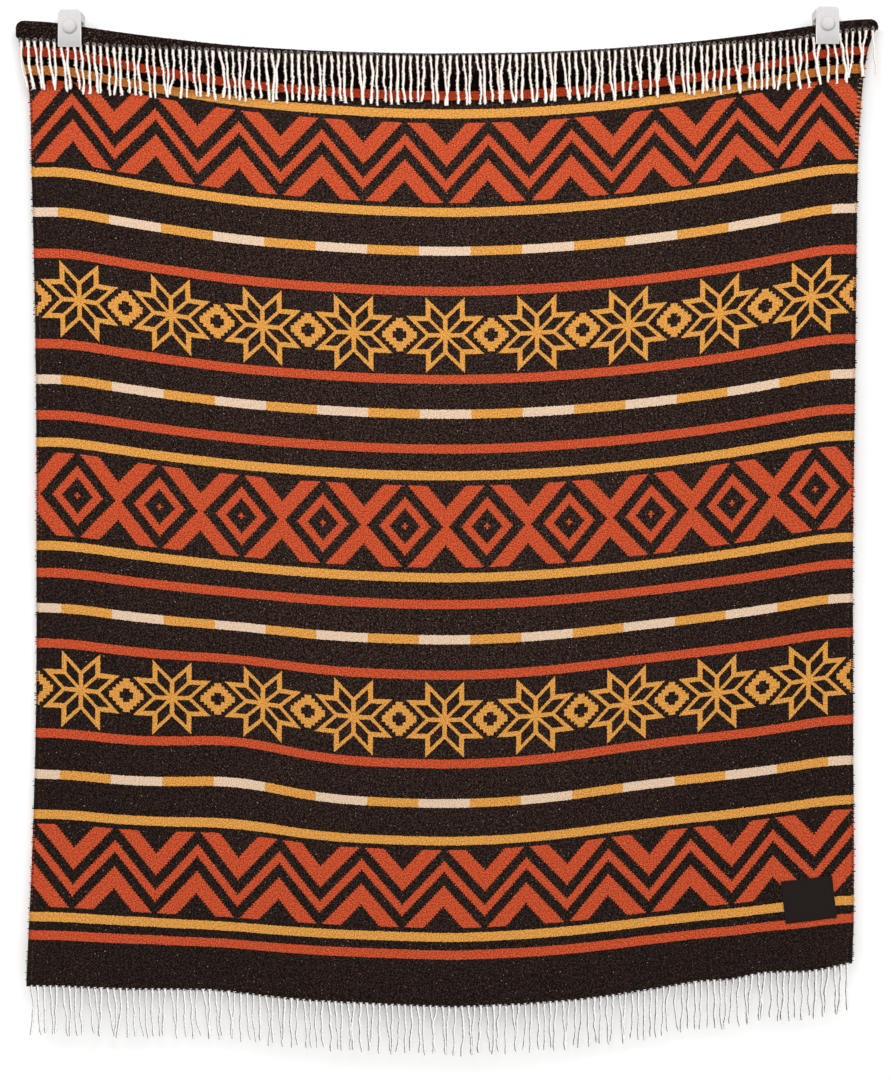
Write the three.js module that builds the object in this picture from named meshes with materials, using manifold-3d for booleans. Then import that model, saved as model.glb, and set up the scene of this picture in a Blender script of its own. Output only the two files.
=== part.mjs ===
/*
A fringed throw blanket, hung face-on from two spring clips, with its top end folded forward.

Millimetres, +Z up. The front faces -Y and the plane of the wall is y = 0. The origin is on that plane,
midway between the bosses of the two clips. The cloth is one sheet: it rises behind, turns over the fold
line and ends in a short flap in front, from which the top fringe hangs.
*/
import * as THREE from 'three';
import { mergeVertices } from 'three/addons/utils/BufferGeometryUtils.js';
import Module from 'manifold-3d';

const wasm = await Module();
wasm.setup();

// Cloth
const CLOTH_THICK = 2;
const LAYER_GAP = 1;
const PIECE_GAP = 0.3;
const HANG_DEPTH = 17;
const CORNER_DROP = 11;
const CORNER_STARTS = 0.982;
const CORNER_SHARES = [0, 0.5, 0.85, 1];

// Fringe
const STRANDS_PER_END = 130;
const STRAND_WIDE = 3.6;
const STRAND_DEEP = 2;
const STRIP_TALL = 3;
const STRIP_GAP = 0.5;
const TOP_FRINGE_LONG = 74;
const BOTTOM_FRINGE_LONG = 71;
const TOP_FRINGE_STAND_OFF = 3.1;
const STRAND_LEAN = 2.6;
const STRAND_BOW = 0.9;
const STRAND_UNEVEN = 3.5;
const OUTER_LEAN = 7;
const MIDDLE_TAPER = 0.9;
const TIP_TAPER = 0.85;

// Label
const LABEL_WIDE = 80;
const LABEL_TALL = 66;
const LABEL_THICK = 0.8;
const LABEL_X = 558;
const LABEL_Z = -1354;
const LABEL_TILT = THREE.MathUtils.degToRad(6.7);
const LABEL_GAP = 0.5;
const LABEL_COLUMNS = 4;
const LABEL_ROWS = 3;

// Clips
const CLIP_X = 586;
const CLIP_WIDE = 36;
const BASE_WIDE = 39;
const CLIP_TALL = 58;
const CLIP_CHAMFER = 5;
const GRIP_MARGIN = 6;
const GRIP_FADE = 190;
const BASE_THICK = 4;
const JAW_TALL = 11;
const JAW_GAP = 0.4;
const FRONT_THICK = 3.2;
const FRONT_GAP = 0.6;
const BOSS_RADIUS = 10;
const BOSS_PROUD = 3;
const BOSS_UP = 2;
const EAR_WIDE = 3;
const EAR_LOW = 12;
const EAR_HIGH = 26.5;
const OUTER_EAR_GAP = 0.8;
const INNER_EAR_REACH = 6;
const PIN_RADIUS = 2;
const PIN_BELOW_TOP = 7;
const SPRING_RADIUS = 4.5;
const ROUND_SIDES = 16;

// A table as rows of named values: the columns' names, then each row's name and values
function table(columns, rows) {
  return Object.entries(rows).map(([name, values]) => ({
    name,
    ...Object.fromEntries(columns.map((column, i) => [column, values[i]])),
  }));
}

/*
Cross-lines of the hung cloth, from the fold down to the hem: how far each lies below the fold by the
left clip, where its two ends are, its height at the left side, the middle and the right side, how
sharply it sags (2 is a parabola), and how far out from the middle the sag reaches.
*/
const SECTIONS = table(['hang', 'leftX', 'rightX', 'leftZ', 'middleZ', 'rightZ', 'sag', 'reach'], {
  'fold': [0, -670, 665, 7.8, -43.4, 10.5, 2.12, 624],
  'shoulder': [47, -662, 650, -39.5, -107, -37, 2, 600],
  'fringe': [108, -650, 641, -101, -168, -98, 1.9, 589],
  'chest': [225, -647, 635, -217, -281, -212, 1.9, 589],
  'upper': [525, -641, 631.5, -517, -573, -509, 1.9, 589],
  'middle': [821, -640, 628, -814, -864, -801, 1.8, 589],
  'lower': [1117, -641, 628, -1109, -1156, -1088, 1.7, 589],
  'low band': [1410, -650, 628, -1402, -1432, -1376, 1.5, 589],
  'hem': [1494, -653, 625, -1487, -1518, -1448, 1.4, 589],
});

/*
Soft folds of the hung cloth: where each is centred, how far it fades out sideways and up and down,
how far it stands forward (or back, below zero) and how far it lifts the cloth in its own plane.
*/
const FOLDS = table(['x', 'z', 'wide', 'tall', 'forward', 'lift'], {
  'middle swell': [0, -640, 430, 520, 7, 0],
  'left hollow': [-325, -640, 90, 620, -8, 0],
  'left ridge': [-215, -1080, 80, 260, 7, 0],
  'left swoop': [-330, -1138, 116, 155, -3, 16],
  'right hollow': [444, -760, 85, 420, -8, 0],
  'right ridge': [530, -700, 70, 260, 6, 0],
  'right swoop': [312, -1120, 140, 200, -4, 7],
  'left edge curl': [-655, -700, 50, 560, -8, 0],
  'right edge curl': [645, -720, 50, 520, -8, 0],
  'left corner': [-600, -1470, 150, 110, 7, 0],
  'low middle': [-20, -1480, 210, 160, 6, 0],
  'low right hollow': [300, -1430, 130, 150, -6, 0],
  'right hem dip': [566, -1468, 62, 70, 4, -12],
  'left hem rise': [-370, -1505, 95, 80, -3, 6.2],
  'right hem sink': [238, -1515, 170, 90, 2, -7.2],
  'right hem sag': [440, -1475, 36, 60, 0, -5],
});

// How far the flap reaches down in front of the fold line, at places across the cloth
const FLAP = table(['x', 'drop'], {
  'left end': [-670, 31],
  'left clip': [-565, 28],
  'left shoulder': [-350, 11],
  'middle': [0, 4],
  'right shoulder': [340, 6],
  'right clip': [560, 18],
  'right end': [665, 17],
});

const CLIPS = [
  { side: 'left', x: -CLIP_X, z: -5 },
  { side: 'right', x: CLIP_X, z: -0.5 },
];

const { lerp, clamp, smoothstep } = THREE.MathUtils;

// A smooth curve through a column of a table: slopes at the rows come from the rows beside them
function along(rows, key, column, at) {
  const last = rows.length - 1;
  const place = clamp(at, rows[0][key], rows[last][key]);
  let row = 0;
  while (row < last - 1 && place > rows[row + 1][key]) row += 1;
  const slope = (r) => {
    const before = rows[Math.max(r - 1, 0)];
    const after = rows[Math.min(r + 1, last)];
    return (after[column] - before[column]) / (after[key] - before[key]);
  };
  const span = rows[row + 1][key] - rows[row][key];
  const s = (place - rows[row][key]) / span;
  const start = (1 + 2 * s) * (1 - s) ** 2;
  const end = s * s * (3 - 2 * s);
  const leave = s * (1 - s) ** 2 * span;
  const arrive = s * s * (s - 1) * span;
  const level = start * rows[row][column] + end * rows[row + 1][column];
  return level + leave * slope(row) + arrive * slope(row + 1);
}

// 0 where a clip holds the cloth flat, rising to 1 away from it
function freedom(x, z) {
  const held = CLIPS.map((clip) => {
    const sideways = Math.max(Math.abs(x - clip.x) - CLIP_WIDE / 2 - GRIP_MARGIN, 0);
    const upDown = Math.max(Math.abs(z - clip.z) - CLIP_TALL / 2 - GRIP_MARGIN, 0);
    return smoothstep(Math.hypot(sideways, upDown), 0, GRIP_FADE);
  });
  return Math.min(...held);
}

function fade(fold, x, z) {
  return Math.exp(-(((x - fold.x) / fold.wide) ** 2) - ((z - fold.z) / fold.tall) ** 2);
}

// Depth of the cloth's middle at a place on it
function depthAt(x, z) {
  const forward = FOLDS.reduce((sum, fold) => sum + fold.forward * fade(fold, x, z), 0);
  return -HANG_DEPTH - forward * freedom(x, z);
}

// The place of a point of the cloth: across is -1 at the left edge and 1 at the right, hang as in SECTIONS
function clothPlace(across, hang) {
  const at = (column) => along(SECTIONS, 'hang', column, hang);
  const x = lerp(at('leftX'), at('rightX'), (across + 1) / 2);
  const side = at(x < 0 ? 'leftZ' : 'rightZ');
  const plain = lerp(at('middleZ'), side, Math.min(Math.abs(x) / at('reach'), 1) ** at('sag'));
  const lift = FOLDS.reduce((sum, fold) => sum + fold.lift * fade(fold, x, plain), 0);
  return { x, z: plain + lift };
}

const FOLD_RADIUS = (LAYER_GAP + CLOTH_THICK) / 2;
const FOLD_STEPS = 4;
const FLAP_STEPS = 2;
const INNER_COLUMNS = 22;
const HEM_HANG = SECTIONS.at(-1).hang;
const BODY_STEPS = 26;
const SHOULDER_STEPS = [0.055, 0.028, 0];
const ROW_HANGS = [
  ...Array.from({ length: BODY_STEPS }, (_, i) => lerp(1, SHOULDER_STEPS[0], i / BODY_STEPS)),
  ...SHOULDER_STEPS,
].map((share) => share * HEM_HANG);

// The flap's lower edge at a place across
function flapEdge(across) {
  const top = clothPlace(across, 0);
  return { x: top.x, z: top.z - along(FLAP, 'x', 'drop', top.x) };
}

// Columns of the cloth: even between the clips, with one at each clip's middle and at each of its sides
function clothColumns() {
  const { leftX, rightX } = SECTIONS[0];
  const clipAcross = (x) => (2 * (x - leftX)) / (rightX - leftX) - 1;
  const half = CLIP_WIDE / 2 + GRIP_MARGIN;
  const held = CLIPS.flatMap((clip) => [clip.x - half, clip.x, clip.x + half].map(clipAcross));
  const innerAt = (i) => lerp(held[2], held[3], (i + 1) / (INNER_COLUMNS + 1));
  const inner = Array.from({ length: INNER_COLUMNS }, (_, i) => innerAt(i));
  const outer = CORNER_SHARES.map((share) => lerp(CORNER_STARTS, 1, share));
  return [...outer.map((across) => -across), ...held, ...inner, ...outer].sort((a, b) => a - b);
}

const COLUMNS = clothColumns();

// The same edge with straight runs between the cloth's columns, as the solid has it
function straightRuns(edge) {
  return (across) => {
    const right = clamp(COLUMNS.findIndex((column) => column >= across), 1, COLUMNS.length - 1);
    const from = edge(COLUMNS[right - 1]);
    const to = edge(COLUMNS[right]);
    const share = (across - COLUMNS[right - 1]) / (COLUMNS[right] - COLUMNS[right - 1]);
    return { x: lerp(from.x, to.x, share), z: lerp(from.z, to.z, share) };
  };
}

// How far the fold line's rounded ends lie below its straight run
function cornerDrop(across) {
  const share = Math.max(Math.abs(across) - CORNER_STARTS, 0) / (1 - CORNER_STARTS);
  return CORNER_DROP * (1 - Math.sqrt(Math.max(1 - share ** 2, 0)));
}

// The middle line of the cloth in one column, from the hem up, over the fold and down the flap
function columnLine(across) {
  const points = ROW_HANGS.map((hang) => {
    const place = clothPlace(across, hang);
    const sink = hang === 0 ? CLOTH_THICK / 2 + FOLD_RADIUS + cornerDrop(across) : 0;
    return new THREE.Vector3(place.x, depthAt(place.x, place.z), place.z - sink);
  });
  const start = points.at(-1);
  for (let step = 1; step <= FOLD_STEPS; step += 1) {
    const turn = (Math.PI * step) / FOLD_STEPS;
    const y = start.y - FOLD_RADIUS * (1 - Math.cos(turn));
    points.push(new THREE.Vector3(start.x, y, start.z + FOLD_RADIUS * Math.sin(turn)));
  }
  const edge = flapEdge(across);
  for (let step = 1; step <= FLAP_STEPS; step += 1) {
    const z = lerp(start.z, edge.z, step / FLAP_STEPS);
    points.push(new THREE.Vector3(start.x, depthAt(start.x, z) - 2 * FOLD_RADIUS, z));
  }
  return points;
}

// Collects corners and faces, each face a loop of corners seen anticlockwise from outside
class Shell {
  corners = [];
  faces = [];

  corner(x, y, z) {
    this.corners.push(x, y, z);
    return this.corners.length / 3 - 1;
  }

  face(...loop) {
    for (let i = 2; i < loop.length; i += 1) this.faces.push(loop[0], loop[i - 1], loop[i]);
  }

  geometry() {
    const geometry = new THREE.BufferGeometry();
    geometry.setAttribute('position', new THREE.Float32BufferAttribute(this.corners, 3));
    geometry.setIndex(this.faces);
    geometry.computeVertexNormals();
    return geometry;
  }
}

/*
A sheet of even thickness from a grid of its middle points, lines[column][row]. Columns run from left
to right, and outer(column, row) is the direction from the middle to the outer side.
*/
function sheetGeometry(lines, outer, thick) {
  const shell = new Shell();
  const layer = (side) =>
    lines.map((line, column) =>
      line.map((point, row) => {
        const place = point.clone().addScaledVector(outer(column, row), (side * thick) / 2);
        return shell.corner(place.x, place.y, place.z);
      }),
    );
  const out = layer(1);
  const inn = layer(-1);
  const lastColumn = lines.length - 1;
  const lastRow = lines[0].length - 1;
  for (let c = 0; c < lastColumn; c += 1) {
    for (let r = 0; r < lastRow; r += 1) {
      shell.face(out[c][r], out[c][r + 1], out[c + 1][r + 1], out[c + 1][r]);
      shell.face(inn[c][r], inn[c + 1][r], inn[c + 1][r + 1], inn[c][r + 1]);
    }
    shell.face(inn[c][0], out[c][0], out[c + 1][0], inn[c + 1][0]);
    shell.face(out[c][lastRow], inn[c][lastRow], inn[c + 1][lastRow], out[c + 1][lastRow]);
  }
  for (let r = 0; r < lastRow; r += 1) {
    shell.face(inn[0][r + 1], out[0][r + 1], out[0][r], inn[0][r]);
    shell.face(inn[lastColumn][r], out[lastColumn][r], out[lastColumn][r + 1], inn[lastColumn][r + 1]);
  }
  return shell.geometry();
}

function blanket() {
  const lines = COLUMNS.map(columnLine);
  const last = lines[0].length - 1;
  const outer = (column, row) => {
    const line = lines[column];
    const before = line[Math.max(row - 1, 0)];
    const after = line[Math.min(row + 1, last)];
    return new THREE.Vector3(0, after.z - before.z, before.y - after.y).normalize();
  };
  return sheetGeometry(lines, outer, CLOTH_THICK);
}

// Seeded random numbers from -1 to 1
function randomSource(seed) {
  let state = seed;
  return () => {
    state = (state * 1664525 + 1013904223) % 4294967296;
    return (state / 4294967296) * 2 - 1;
  };
}

/*
A row of three-sided strands whose roots are fused into one narrow strip. edge(across) gives the cloth's
edge that the strip lies under, and depth(x, z) the depth of the strip's and strands' middle.
*/
function fringe(edge, depth, long, seed) {
  const shell = new Shell();
  const random = randomSource(seed);
  const count = STRANDS_PER_END;
  const half = STRAND_DEEP / 2;
  const acrossAt = (station) => (2 * station) / count - 1;
  const point = (across, below, side) => {
    const place = edge(across);
    const z = place.z - STRIP_GAP - below;
    return shell.corner(place.x, depth(place.x, z) + side * half, z);
  };
  const topFront = [];
  const topBack = [];
  for (let station = 0; station <= count; station += 1) {
    topFront.push(point(acrossAt(station), 0, -1));
    topBack.push(point(acrossAt(station), 0, 1));
  }
  const ends = [-1, 1].map((across) => ({
    front: point(across, STRIP_TALL, -1),
    back: point(across, STRIP_TALL, 1),
  }));

  const strands = [];
  for (let i = 0; i < count; i += 1) {
    const across = acrossAt(i + 0.5);
    const root = edge(across);
    const lean = STRAND_LEAN * random() - OUTER_LEAN * across ** 7;
    const bow = STRAND_BOW * random();
    const length = long + STRAND_UNEVEN * random();
    const levels = [
      { shift: 0, below: STRIP_TALL, size: 1 },
      { shift: lean / 2 + bow, below: STRIP_TALL + length / 2, size: MIDDLE_TAPER },
      { shift: lean, below: STRIP_TALL + length, size: TIP_TAPER },
    ];
    strands.push(
      levels.map(({ shift, below, size }) => {
        const x = root.x + shift;
        const z = root.z - STRIP_GAP - below;
        const y = depth(x, z);
        const wide = (size * STRAND_WIDE) / 2;
        return [
          shell.corner(x - wide, y - half * size, z),
          shell.corner(x + wide, y - half * size, z),
          shell.corner(x, y + half * size, z),
        ];
      }),
    );
  }

  for (let i = 0; i < count; i += 1) {
    const [left, right, back] = strands[i][0];
    shell.face(topFront[i], left, right);
    shell.face(topFront[i], right, topFront[i + 1]);
    shell.face(topBack[i], topBack[i + 1], back);
    shell.face(topFront[i], topFront[i + 1], topBack[i + 1], topBack[i]);
    const next = strands[i + 1]?.[0];
    if (next) {
      shell.face(topFront[i + 1], right, next[0]);
      shell.face(topBack[i + 1], next[2], back);
      shell.face(right, back, next[2], next[0]);
    }
    strands[i].slice(1).forEach((lower, level) => {
      const upper = strands[i][level];
      for (let side = 0; side < 3; side += 1) {
        const other = (side + 1) % 3;
        shell.face(upper[side], lower[side], lower[other], upper[other]);
      }
    });
    const tip = strands[i].at(-1);
    shell.face(tip[0], tip[2], tip[1]);
  }

  const [leftEnd, rightEnd] = ends;
  const first = strands[0][0];
  const final = strands[count - 1][0];
  shell.face(topFront[0], leftEnd.front, first[0]);
  shell.face(topBack[0], first[2], leftEnd.back);
  shell.face(leftEnd.front, leftEnd.back, first[2], first[0]);
  shell.face(topFront[0], topBack[0], leftEnd.back, leftEnd.front);
  shell.face(topFront[count], final[1], rightEnd.front);
  shell.face(topBack[count], rightEnd.back, final[2]);
  shell.face(final[1], final[2], rightEnd.back, rightEnd.front);
  shell.face(topFront[count], rightEnd.front, rightEnd.back, topBack[count]);
  return shell.geometry();
}

function topFringe() {
  const depth = (x, z) => depthAt(x, z) - TOP_FRINGE_STAND_OFF;
  return fringe(straightRuns(flapEdge), depth, TOP_FRINGE_LONG, 11);
}

function bottomFringe() {
  const hem = straightRuns((across) => clothPlace(across, HEM_HANG));
  return fringe(hem, depthAt, BOTTOM_FRINGE_LONG, 23);
}

// The blank label lies on the cloth's front and follows its waves
function label() {
  const standOff = CLOTH_THICK / 2 + LABEL_GAP + LABEL_THICK / 2;
  const lines = Array.from({ length: LABEL_COLUMNS + 1 }, (_, c) =>
    Array.from({ length: LABEL_ROWS + 1 }, (_unused, r) => {
      const across = (c / LABEL_COLUMNS - 0.5) * LABEL_WIDE;
      const up = (r / LABEL_ROWS - 0.5) * LABEL_TALL;
      const flat = new THREE.Vector2(across, up).rotateAround(new THREE.Vector2(), LABEL_TILT);
      const x = LABEL_X + flat.x;
      const z = LABEL_Z + flat.y;
      return new THREE.Vector3(x, depthAt(x, z) - standOff, z);
    }),
  );
  return sheetGeometry(lines, () => new THREE.Vector3(0, 1, 0), LABEL_THICK);
}

function toSolid(geometry) {
  const plain = geometry.clone();
  plain.deleteAttribute('normal');
  plain.deleteAttribute('uv');
  const merged = mergeVertices(plain, 1e-4);
  const mesh = new wasm.Mesh({
    numProp: 3,
    vertProperties: new Float32Array(merged.attributes.position.array),
    triVerts: new Uint32Array(merged.index.array),
  });
  return new wasm.Manifold(mesh);
}

function toGeometry(solid) {
  const mesh = solid.getMesh();
  const geometry = new THREE.BufferGeometry();
  geometry.setAttribute('position', new THREE.BufferAttribute(mesh.vertProperties, 3));
  geometry.setIndex(new THREE.BufferAttribute(mesh.triVerts, 1));
  geometry.computeVertexNormals();
  return geometry;
}

function boxBetween(low, high) {
  const size = high.map((value, i) => value - low[i]);
  const middle = high.map((value, i) => (value + low[i]) / 2);
  return new THREE.BoxGeometry(...size).translate(...middle);
}

function rodAlongX(radius, long, y, z) {
  const rod = new THREE.CylinderGeometry(radius, radius, long, ROUND_SIDES);
  return rod.rotateZ(Math.PI / 2).translate(0, y, z);
}

// Clip pieces are worked out around the clip's own middle, on the wall plane
const CLIP_TOP = CLIP_TALL / 2;
const JAW_FACE = -HANG_DEPTH + CLOTH_THICK / 2 + JAW_GAP;
const FRONT_FACE = -HANG_DEPTH - 2 * FOLD_RADIUS - CLOTH_THICK / 2 - FRONT_GAP;
const PIN_Y = (FRONT_FACE - BASE_THICK) / 2;
const PIN_Z = CLIP_TOP - PIN_BELOW_TOP;
const OUTER_EAR_X = CLIP_WIDE / 2 - EAR_WIDE;
const INNER_EAR_X = OUTER_EAR_X - EAR_WIDE - PIECE_GAP;
const PIN_BORE = PIN_RADIUS + PIECE_GAP;

// A pair of ears for the pin, from depth nearY to depth farY
function ears(innerX, nearY, farY) {
  const left = boxBetween([-innerX - EAR_WIDE, nearY, EAR_LOW], [-innerX, farY, EAR_HIGH]);
  const right = boxBetween([innerX, nearY, EAR_LOW], [innerX + EAR_WIDE, farY, EAR_HIGH]);
  return toSolid(left).add(toSolid(right));
}

function clipBase() {
  const half = CLIP_WIDE / 2;
  const reach = BASE_WIDE / 2;
  const plate = toSolid(boxBetween([-reach, -BASE_THICK, -CLIP_TOP], [reach, 0, CLIP_TOP]));
  const jawTop = JAW_TALL - CLIP_TOP;
  const jaw = toSolid(boxBetween([-half, JAW_FACE, -CLIP_TOP], [half, -BASE_THICK / 2, jawTop]));
  const bore = toSolid(rodAlongX(PIN_BORE, 2 * CLIP_WIDE, PIN_Y, PIN_Z));
  const cheeks = ears(OUTER_EAR_X, FRONT_FACE + OUTER_EAR_GAP, -BASE_THICK / 2).subtract(bore);
  return toGeometry(plate.add(jaw).add(cheeks));
}

function clipFront() {
  const half = CLIP_WIDE / 2;
  const outline = new THREE.Shape([
    new THREE.Vector2(-half, -CLIP_TOP),
    new THREE.Vector2(half, -CLIP_TOP),
    new THREE.Vector2(half, CLIP_TOP - CLIP_CHAMFER),
    new THREE.Vector2(half - CLIP_CHAMFER, CLIP_TOP),
    new THREE.Vector2(-half + CLIP_CHAMFER, CLIP_TOP),
    new THREE.Vector2(-half, CLIP_TOP - CLIP_CHAMFER),
  ]);
  const flat = new THREE.ExtrudeGeometry(outline, { depth: FRONT_THICK, bevelEnabled: false });
  const plate = toSolid(flat.rotateX(Math.PI / 2).translate(0, FRONT_FACE, 0));
  const outside = FRONT_FACE - FRONT_THICK;
  const bossLong = BOSS_PROUD + FRONT_THICK / 2;
  const round = new THREE.CylinderGeometry(BOSS_RADIUS, BOSS_RADIUS, bossLong, 2 * ROUND_SIDES);
  const boss = toSolid(round.translate(0, outside - BOSS_PROUD + bossLong / 2, BOSS_UP));
  const bore = toSolid(rodAlongX(PIN_BORE, 2 * CLIP_WIDE, PIN_Y, PIN_Z));
  const cheeks = ears(INNER_EAR_X, FRONT_FACE - FRONT_THICK / 2, PIN_Y + INNER_EAR_REACH).subtract(bore);
  return toGeometry(plate.add(boss).add(cheeks));
}

function clipPin() {
  return rodAlongX(PIN_RADIUS, CLIP_WIDE, PIN_Y, PIN_Z);
}

// The coil spring, as a plain sleeve on the pin between the inner ears
function clipSpring() {
  const half = INNER_EAR_X - PIECE_GAP;
  const profile = [
    new THREE.Vector2(PIN_BORE, -half),
    new THREE.Vector2(SPRING_RADIUS, -half),
    new THREE.Vector2(SPRING_RADIUS, half),
    new THREE.Vector2(PIN_BORE, half),
    new THREE.Vector2(PIN_BORE, -half),
  ];
  return new THREE.LatheGeometry(profile, ROUND_SIDES).rotateZ(Math.PI / 2).translate(0, PIN_Y, PIN_Z);
}

const weave = new THREE.MeshStandardMaterial({ color: 0x261c1a, roughness: 0.95, metalness: 0 });
const yarn = new THREE.MeshStandardMaterial({ color: 0xf3e9df, roughness: 0.9, metalness: 0 });
const tape = new THREE.MeshStandardMaterial({ color: 0x1a1413, roughness: 0.8, metalness: 0 });
const plastic = new THREE.MeshStandardMaterial({ color: 0xe0dedd, roughness: 0.4, metalness: 0 });
const steel = new THREE.MeshStandardMaterial({ color: 0xb4b6b8, roughness: 0.3, metalness: 1 });

function piece(name, geometry, material) {
  const mesh = new THREE.Mesh(geometry, material.clone());
  mesh.name = name;
  return mesh;
}

const throwOnClips = new THREE.Group();
throwOnClips.add(
  piece('blanket', blanket(), weave),
  piece('top_fringe', topFringe(), yarn),
  piece('bottom_fringe', bottomFringe(), yarn),
  piece('label_patch', label(), tape),
);

for (const clip of CLIPS) {
  const holder = new THREE.Group();
  holder.position.set(clip.x, 0, clip.z);
  holder.add(
    piece(`${clip.side}_clip_base`, clipBase(), plastic),
    piece(`${clip.side}_clip_front`, clipFront(), plastic),
    piece(`${clip.side}_clip_pin`, clipPin(), steel),
    piece(`${clip.side}_clip_spring`, clipSpring(), steel),
  );
  throwOnClips.add(holder);
}

export default throwOnClips;
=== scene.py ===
"""A fringed throw blanket, hung face-on from two spring clips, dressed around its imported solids.

Metres, +Z up. The front faces -Y, the plane of the wall is y = 0, and the origin is on that plane,
midway between the bosses of the clips.
"""

import math
import random
from contextlib import contextmanager
from functools import reduce
from operator import or_
from types import SimpleNamespace

import bmesh
import bpy
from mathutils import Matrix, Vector, noise


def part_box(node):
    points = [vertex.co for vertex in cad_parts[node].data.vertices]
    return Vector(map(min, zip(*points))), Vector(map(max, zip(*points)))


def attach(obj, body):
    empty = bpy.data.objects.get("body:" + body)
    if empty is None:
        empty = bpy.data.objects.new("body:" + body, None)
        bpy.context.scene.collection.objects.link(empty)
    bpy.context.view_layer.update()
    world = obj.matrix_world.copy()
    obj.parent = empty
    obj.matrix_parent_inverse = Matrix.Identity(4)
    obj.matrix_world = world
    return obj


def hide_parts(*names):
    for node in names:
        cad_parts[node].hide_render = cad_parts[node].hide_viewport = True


bl_info = {
    "name": "Fringed Throw on Wall Clips",
    "version": (1, 0, 0),
    "blender": (4, 5, 0),
    "location": "3D View > Sidebar > Throw",
    "description": "Dresses a hung, fringed throw blanket and its two wall clips",
    "category": "Object",
}

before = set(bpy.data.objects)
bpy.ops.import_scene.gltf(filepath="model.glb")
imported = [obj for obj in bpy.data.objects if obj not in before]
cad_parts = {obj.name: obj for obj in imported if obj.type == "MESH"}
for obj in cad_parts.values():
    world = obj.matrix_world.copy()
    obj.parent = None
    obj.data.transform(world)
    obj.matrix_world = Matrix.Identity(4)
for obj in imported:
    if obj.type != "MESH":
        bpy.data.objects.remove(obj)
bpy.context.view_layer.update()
MM = 0.001

# The cut length of cloth, before it was hung
CUT_WIDE = 1.270
CUT_LONG = 1.524

# How the cloth hangs, as its solids do
HANG_DEPTH = 0.017
LAYER_GAP = 0.001
CORNER_STARTS = 0.982
CORNER_DROP = 0.011
SAG_EASES = 0.93
SHOULDER = 0.047
GRIP_MARGIN = 0.006
GRIP_FADE = 0.190
LABEL_PLACE = (0.558, -1.354)
LABEL_TILT = math.radians(6.7)
LABEL_GAP = 0.0003

# How finely the cloth is divided
BETWEEN_CORNERS = 150
CORNER_COLUMNS = 6
BODY_ROWS = 168
SHOULDER_ROWS = 12
FOLD_ROWS = 8
FLAP_ROWS = 6


def table(columns, rows):
    """Rows of named values, from the columns' names and each row's values. The rows' own names only
    say what they are."""
    return [SimpleNamespace(**dict(zip(columns, values))) for values in rows.values()]


# Cross-lines of the hung cloth, from the fold down to the hem: how far each lies below the fold by the
# left clip, where its ends are, its height at the left side, the middle and the right side, how sharply
# it sags (2 is a parabola), and how far out from the middle the sag reaches.
SECTION_COLUMNS = ("hang", "left_x", "right_x", "left_z", "middle_z", "right_z", "sag", "reach")
SECTIONS = table(SECTION_COLUMNS, {
    "fold": (0, -0.670, 0.665, 0.0078, -0.0434, 0.0105, 2.12, 0.624),
    "shoulder": (0.047, -0.662, 0.650, -0.0395, -0.107, -0.037, 2, 0.600),
    "fringe": (0.108, -0.650, 0.641, -0.101, -0.168, -0.098, 1.9, 0.589),
    "chest": (0.225, -0.647, 0.635, -0.217, -0.281, -0.212, 1.9, 0.589),
    "upper": (0.525, -0.641, 0.6315, -0.517, -0.573, -0.509, 1.9, 0.589),
    "middle": (0.821, -0.640, 0.628, -0.814, -0.864, -0.801, 1.8, 0.589),
    "lower": (1.117, -0.641, 0.628, -1.109, -1.156, -1.088, 1.7, 0.589),
    "low band": (1.410, -0.650, 0.628, -1.402, -1.432, -1.376, 1.5, 0.589),
    "hem": (1.494, -0.653, 0.625, -1.487, -1.518, -1.448, 1.4, 0.589),
})

# Soft folds of the hung cloth: where each is centred, how far it fades out sideways and up and down,
# how far it stands forward (or back, below zero) and how far it lifts the cloth in its own plane.
FOLDS = table(("x", "z", "wide", "tall", "forward", "lift"), {
    "middle swell": (0, -0.640, 0.430, 0.520, 0.007, 0),
    "left hollow": (-0.325, -0.640, 0.090, 0.620, -0.008, 0),
    "left ridge": (-0.215, -1.080, 0.080, 0.260, 0.007, 0),
    "left swoop": (-0.330, -1.138, 0.116, 0.155, -0.003, 0.016),
    "right hollow": (0.444, -0.760, 0.085, 0.420, -0.008, 0),
    "right ridge": (0.530, -0.700, 0.070, 0.260, 0.006, 0),
    "right swoop": (0.312, -1.120, 0.140, 0.200, -0.004, 0.007),
    "left edge curl": (-0.655, -0.700, 0.050, 0.560, -0.008, 0),
    "right edge curl": (0.645, -0.720, 0.050, 0.520, -0.008, 0),
    "left corner": (-0.600, -1.470, 0.150, 0.110, 0.007, 0),
    "low middle": (-0.020, -1.480, 0.210, 0.160, 0.006, 0),
    "low right hollow": (0.300, -1.430, 0.130, 0.150, -0.006, 0),
    "right hem dip": (0.566, -1.468, 0.062, 0.070, 0.004, -0.012),
    "left hem rise": (-0.370, -1.505, 0.095, 0.080, -0.003, 0.0062),
    "right hem sink": (0.238, -1.515, 0.170, 0.090, 0.002, -0.0072),
    "right hem sag": (0.440, -1.475, 0.036, 0.060, 0, -0.005),
})

# How far the flap reaches down in front of the fold line, at places across the cloth
FLAP = table(("x", "drop"), {
    "left end": (-0.670, 0.025),
    "left corner": (-0.663, 0.031),
    "left clip": (-0.565, 0.028),
    "left shoulder": (-0.350, 0.011),
    "middle": (0, 0.004),
    "right shoulder": (0.340, 0.006),
    "right clip": (0.560, 0.018),
    "right end": (0.665, 0.017),
})

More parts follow.
